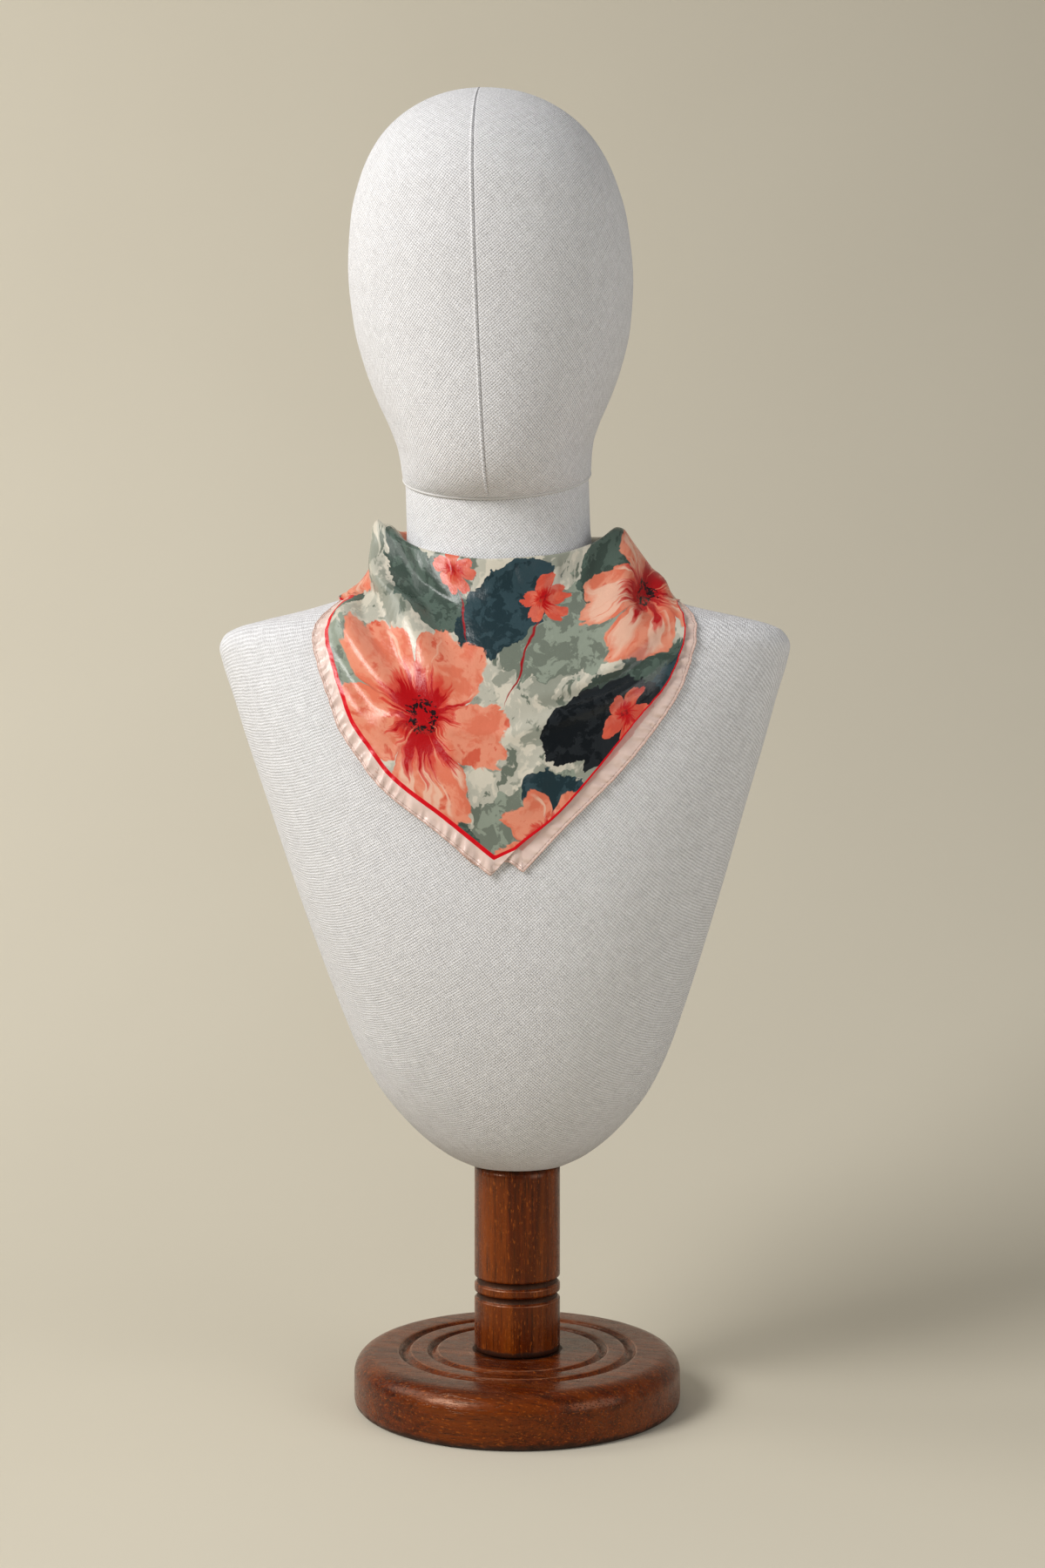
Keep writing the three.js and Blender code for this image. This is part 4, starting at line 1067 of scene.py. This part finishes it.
def free_point(name, from_angle, to_angle, tip_z, cut_from, seed):
    """One free point of the silk below the knot, narrow at the top, pleated, ending in the corner."""
    lengthwise, widthwise, half_width = 70, 44, 19
    top = knot_middle[2] - knot_half[2] - 0.8
    part = np.linspace(0, 1, lengthwise)[None, :]
    across = np.linspace(-1, 1, widthwise)[:, None]
    z = np.broadcast_to(tip_z + (top - tip_z) * part, (widthwise, lengthwise))
    middle = np.radians(to_angle + (from_angle - to_angle) * part)
    taper = 1 - 0.86 * np.maximum(0, (part - 0.45) / 0.55)
    half = 0.5 + half_width * np.minimum(1.3 * part, 1) * taper
    phi = middle + across * half / radius_at(middle + 0 * across, z)
    pleats = 1.3 * part * (1 + np.cos(2.5 * pi * across + 0.5 * np.sin(3 * part + seed)))
    pleats = pleats + 0.25 * np.sin(9 * across + 5 * part + seed) * part
    grid = on_form(phi, radius_at(phi, z), z) + normal_at(phi, z) * np.maximum(0.9, 0.9 + pleats)[..., None]
    away_cm = (1 - np.abs(across)) * half * 0.1 * 1.25
    run_cm = part * 8 + 0 * across
    square_cm = np.stack([cut_from + across * half * 0.16, 2 + part * 7 + 0 * across], axis=-1)
    piece = cloth_piece(name, grid, square_cm, np.stack([run_cm, away_cm], axis=-1))
    piece.data.materials.append(silk)
    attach(piece, "root")
    return piece


left_point = free_point("silk_point_left", -174, -147, 366, -11.4, 0.0)
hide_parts("scarf_tail_left")
right_point = free_point("silk_point_right", 174, 155, 376, 9.0, 2.0)
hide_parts("scarf_tail_right")


# The room: a pale warm paper sweep that is floor and backdrop in one, a large soft light from the
# upper left in front, a weak one from the right, and the camera level with the bust.
flat_back, sweep_radius, sweep_half, sweep_top = 120, 1680, 3000, 3600
sweep_profile = [(-2600, 0), (flat_back, 0)]
for angle in np.linspace(0.04, pi / 2, 40):
    sweep_profile.append((flat_back + sweep_radius * sin(angle), sweep_radius * (1 - cos(angle))))
sweep_profile.append((flat_back + sweep_radius, sweep_top))
sweep_points = [(x, y, z) for y, z in sweep_profile for x in (-sweep_half, sweep_half)]
sweep_faces = [(2 * i, 2 * i + 1, 2 * i + 3, 2 * i + 2) for i in range(len(sweep_profile) - 1)]
paper_sweep = build_piece("paper_sweep", sweep_points, sweep_faces)
paper_finish, paper_tree = new_finish("warm pale paper", 0.9, 0.1)
paper_cloud = noise(add(paper_tree, "ShaderNodeTexCoord", out="Object"), 1.4, 3.0, 0.5)
surface(paper_tree, tint(paper_cloud, srgb(206, 198, 180), srgb(214, 207, 189)))
paper_sweep.data.materials.append(paper_finish)


def soft_light(name, place_m, aim_m, size, power, colour):
    """A square soft light aimed at a point."""
    lamp = bpy.data.lights.new(name, "AREA")
    lamp.shape = "SQUARE"
    lamp.size, lamp.energy, lamp.color = size, power, colour
    holder = bpy.data.objects.new(name, lamp)
    bpy.context.collection.objects.link(holder)
    holder.location = place_m
    way = holder.location.copy()
    way.x, way.y, way.z = (a - b for a, b in zip(aim_m, place_m))
    holder.rotation_euler = way.to_track_quat("-Z", "Y").to_euler()


soft_light("key softbox", (-1.5, -1.3, 1.6), (0, 0, 0.4), 1.0, 48, (1.0, 0.985, 0.97))
soft_light("fill softbox", (1.35, -0.8, 0.7), (0, 0, 0.35), 1.0, 7.5, (1.0, 0.99, 0.98))
soft_light("backdrop softbox", (-1.8, 0.1, 1.5), (-0.4, 1.7, 0.7), 1.2, 15, (1.0, 0.98, 0.95))
world = bpy.data.worlds.new("studio air")
world.use_nodes = True
air = world.node_tree.nodes["Background"].inputs
air["Color"].default_value, air["Strength"].default_value = (0.95, 0.97, 1.0, 1), 0.2
bpy.context.scene.world = world

camera_distance, camera_height, camera_side, camera_turn = 1.102, 0.3354, 0.00285, radians(5)
lens = bpy.data.cameras.new("camera")
lens.sensor_width, lens.lens = 36.0, 46.42
camera = bpy.data.objects.new("camera", lens)
bpy.context.collection.objects.link(camera)
camera.location = (
    camera_distance * sin(camera_turn) + camera_side * cos(camera_turn),
    -camera_distance * cos(camera_turn) + camera_side * sin(camera_turn),
    camera_height,
)
camera.rotation_euler = (pi / 2, 0, camera_turn)
bpy.context.scene.camera = camera
bpy.context.scene.view_settings.view_transform = "Standard"
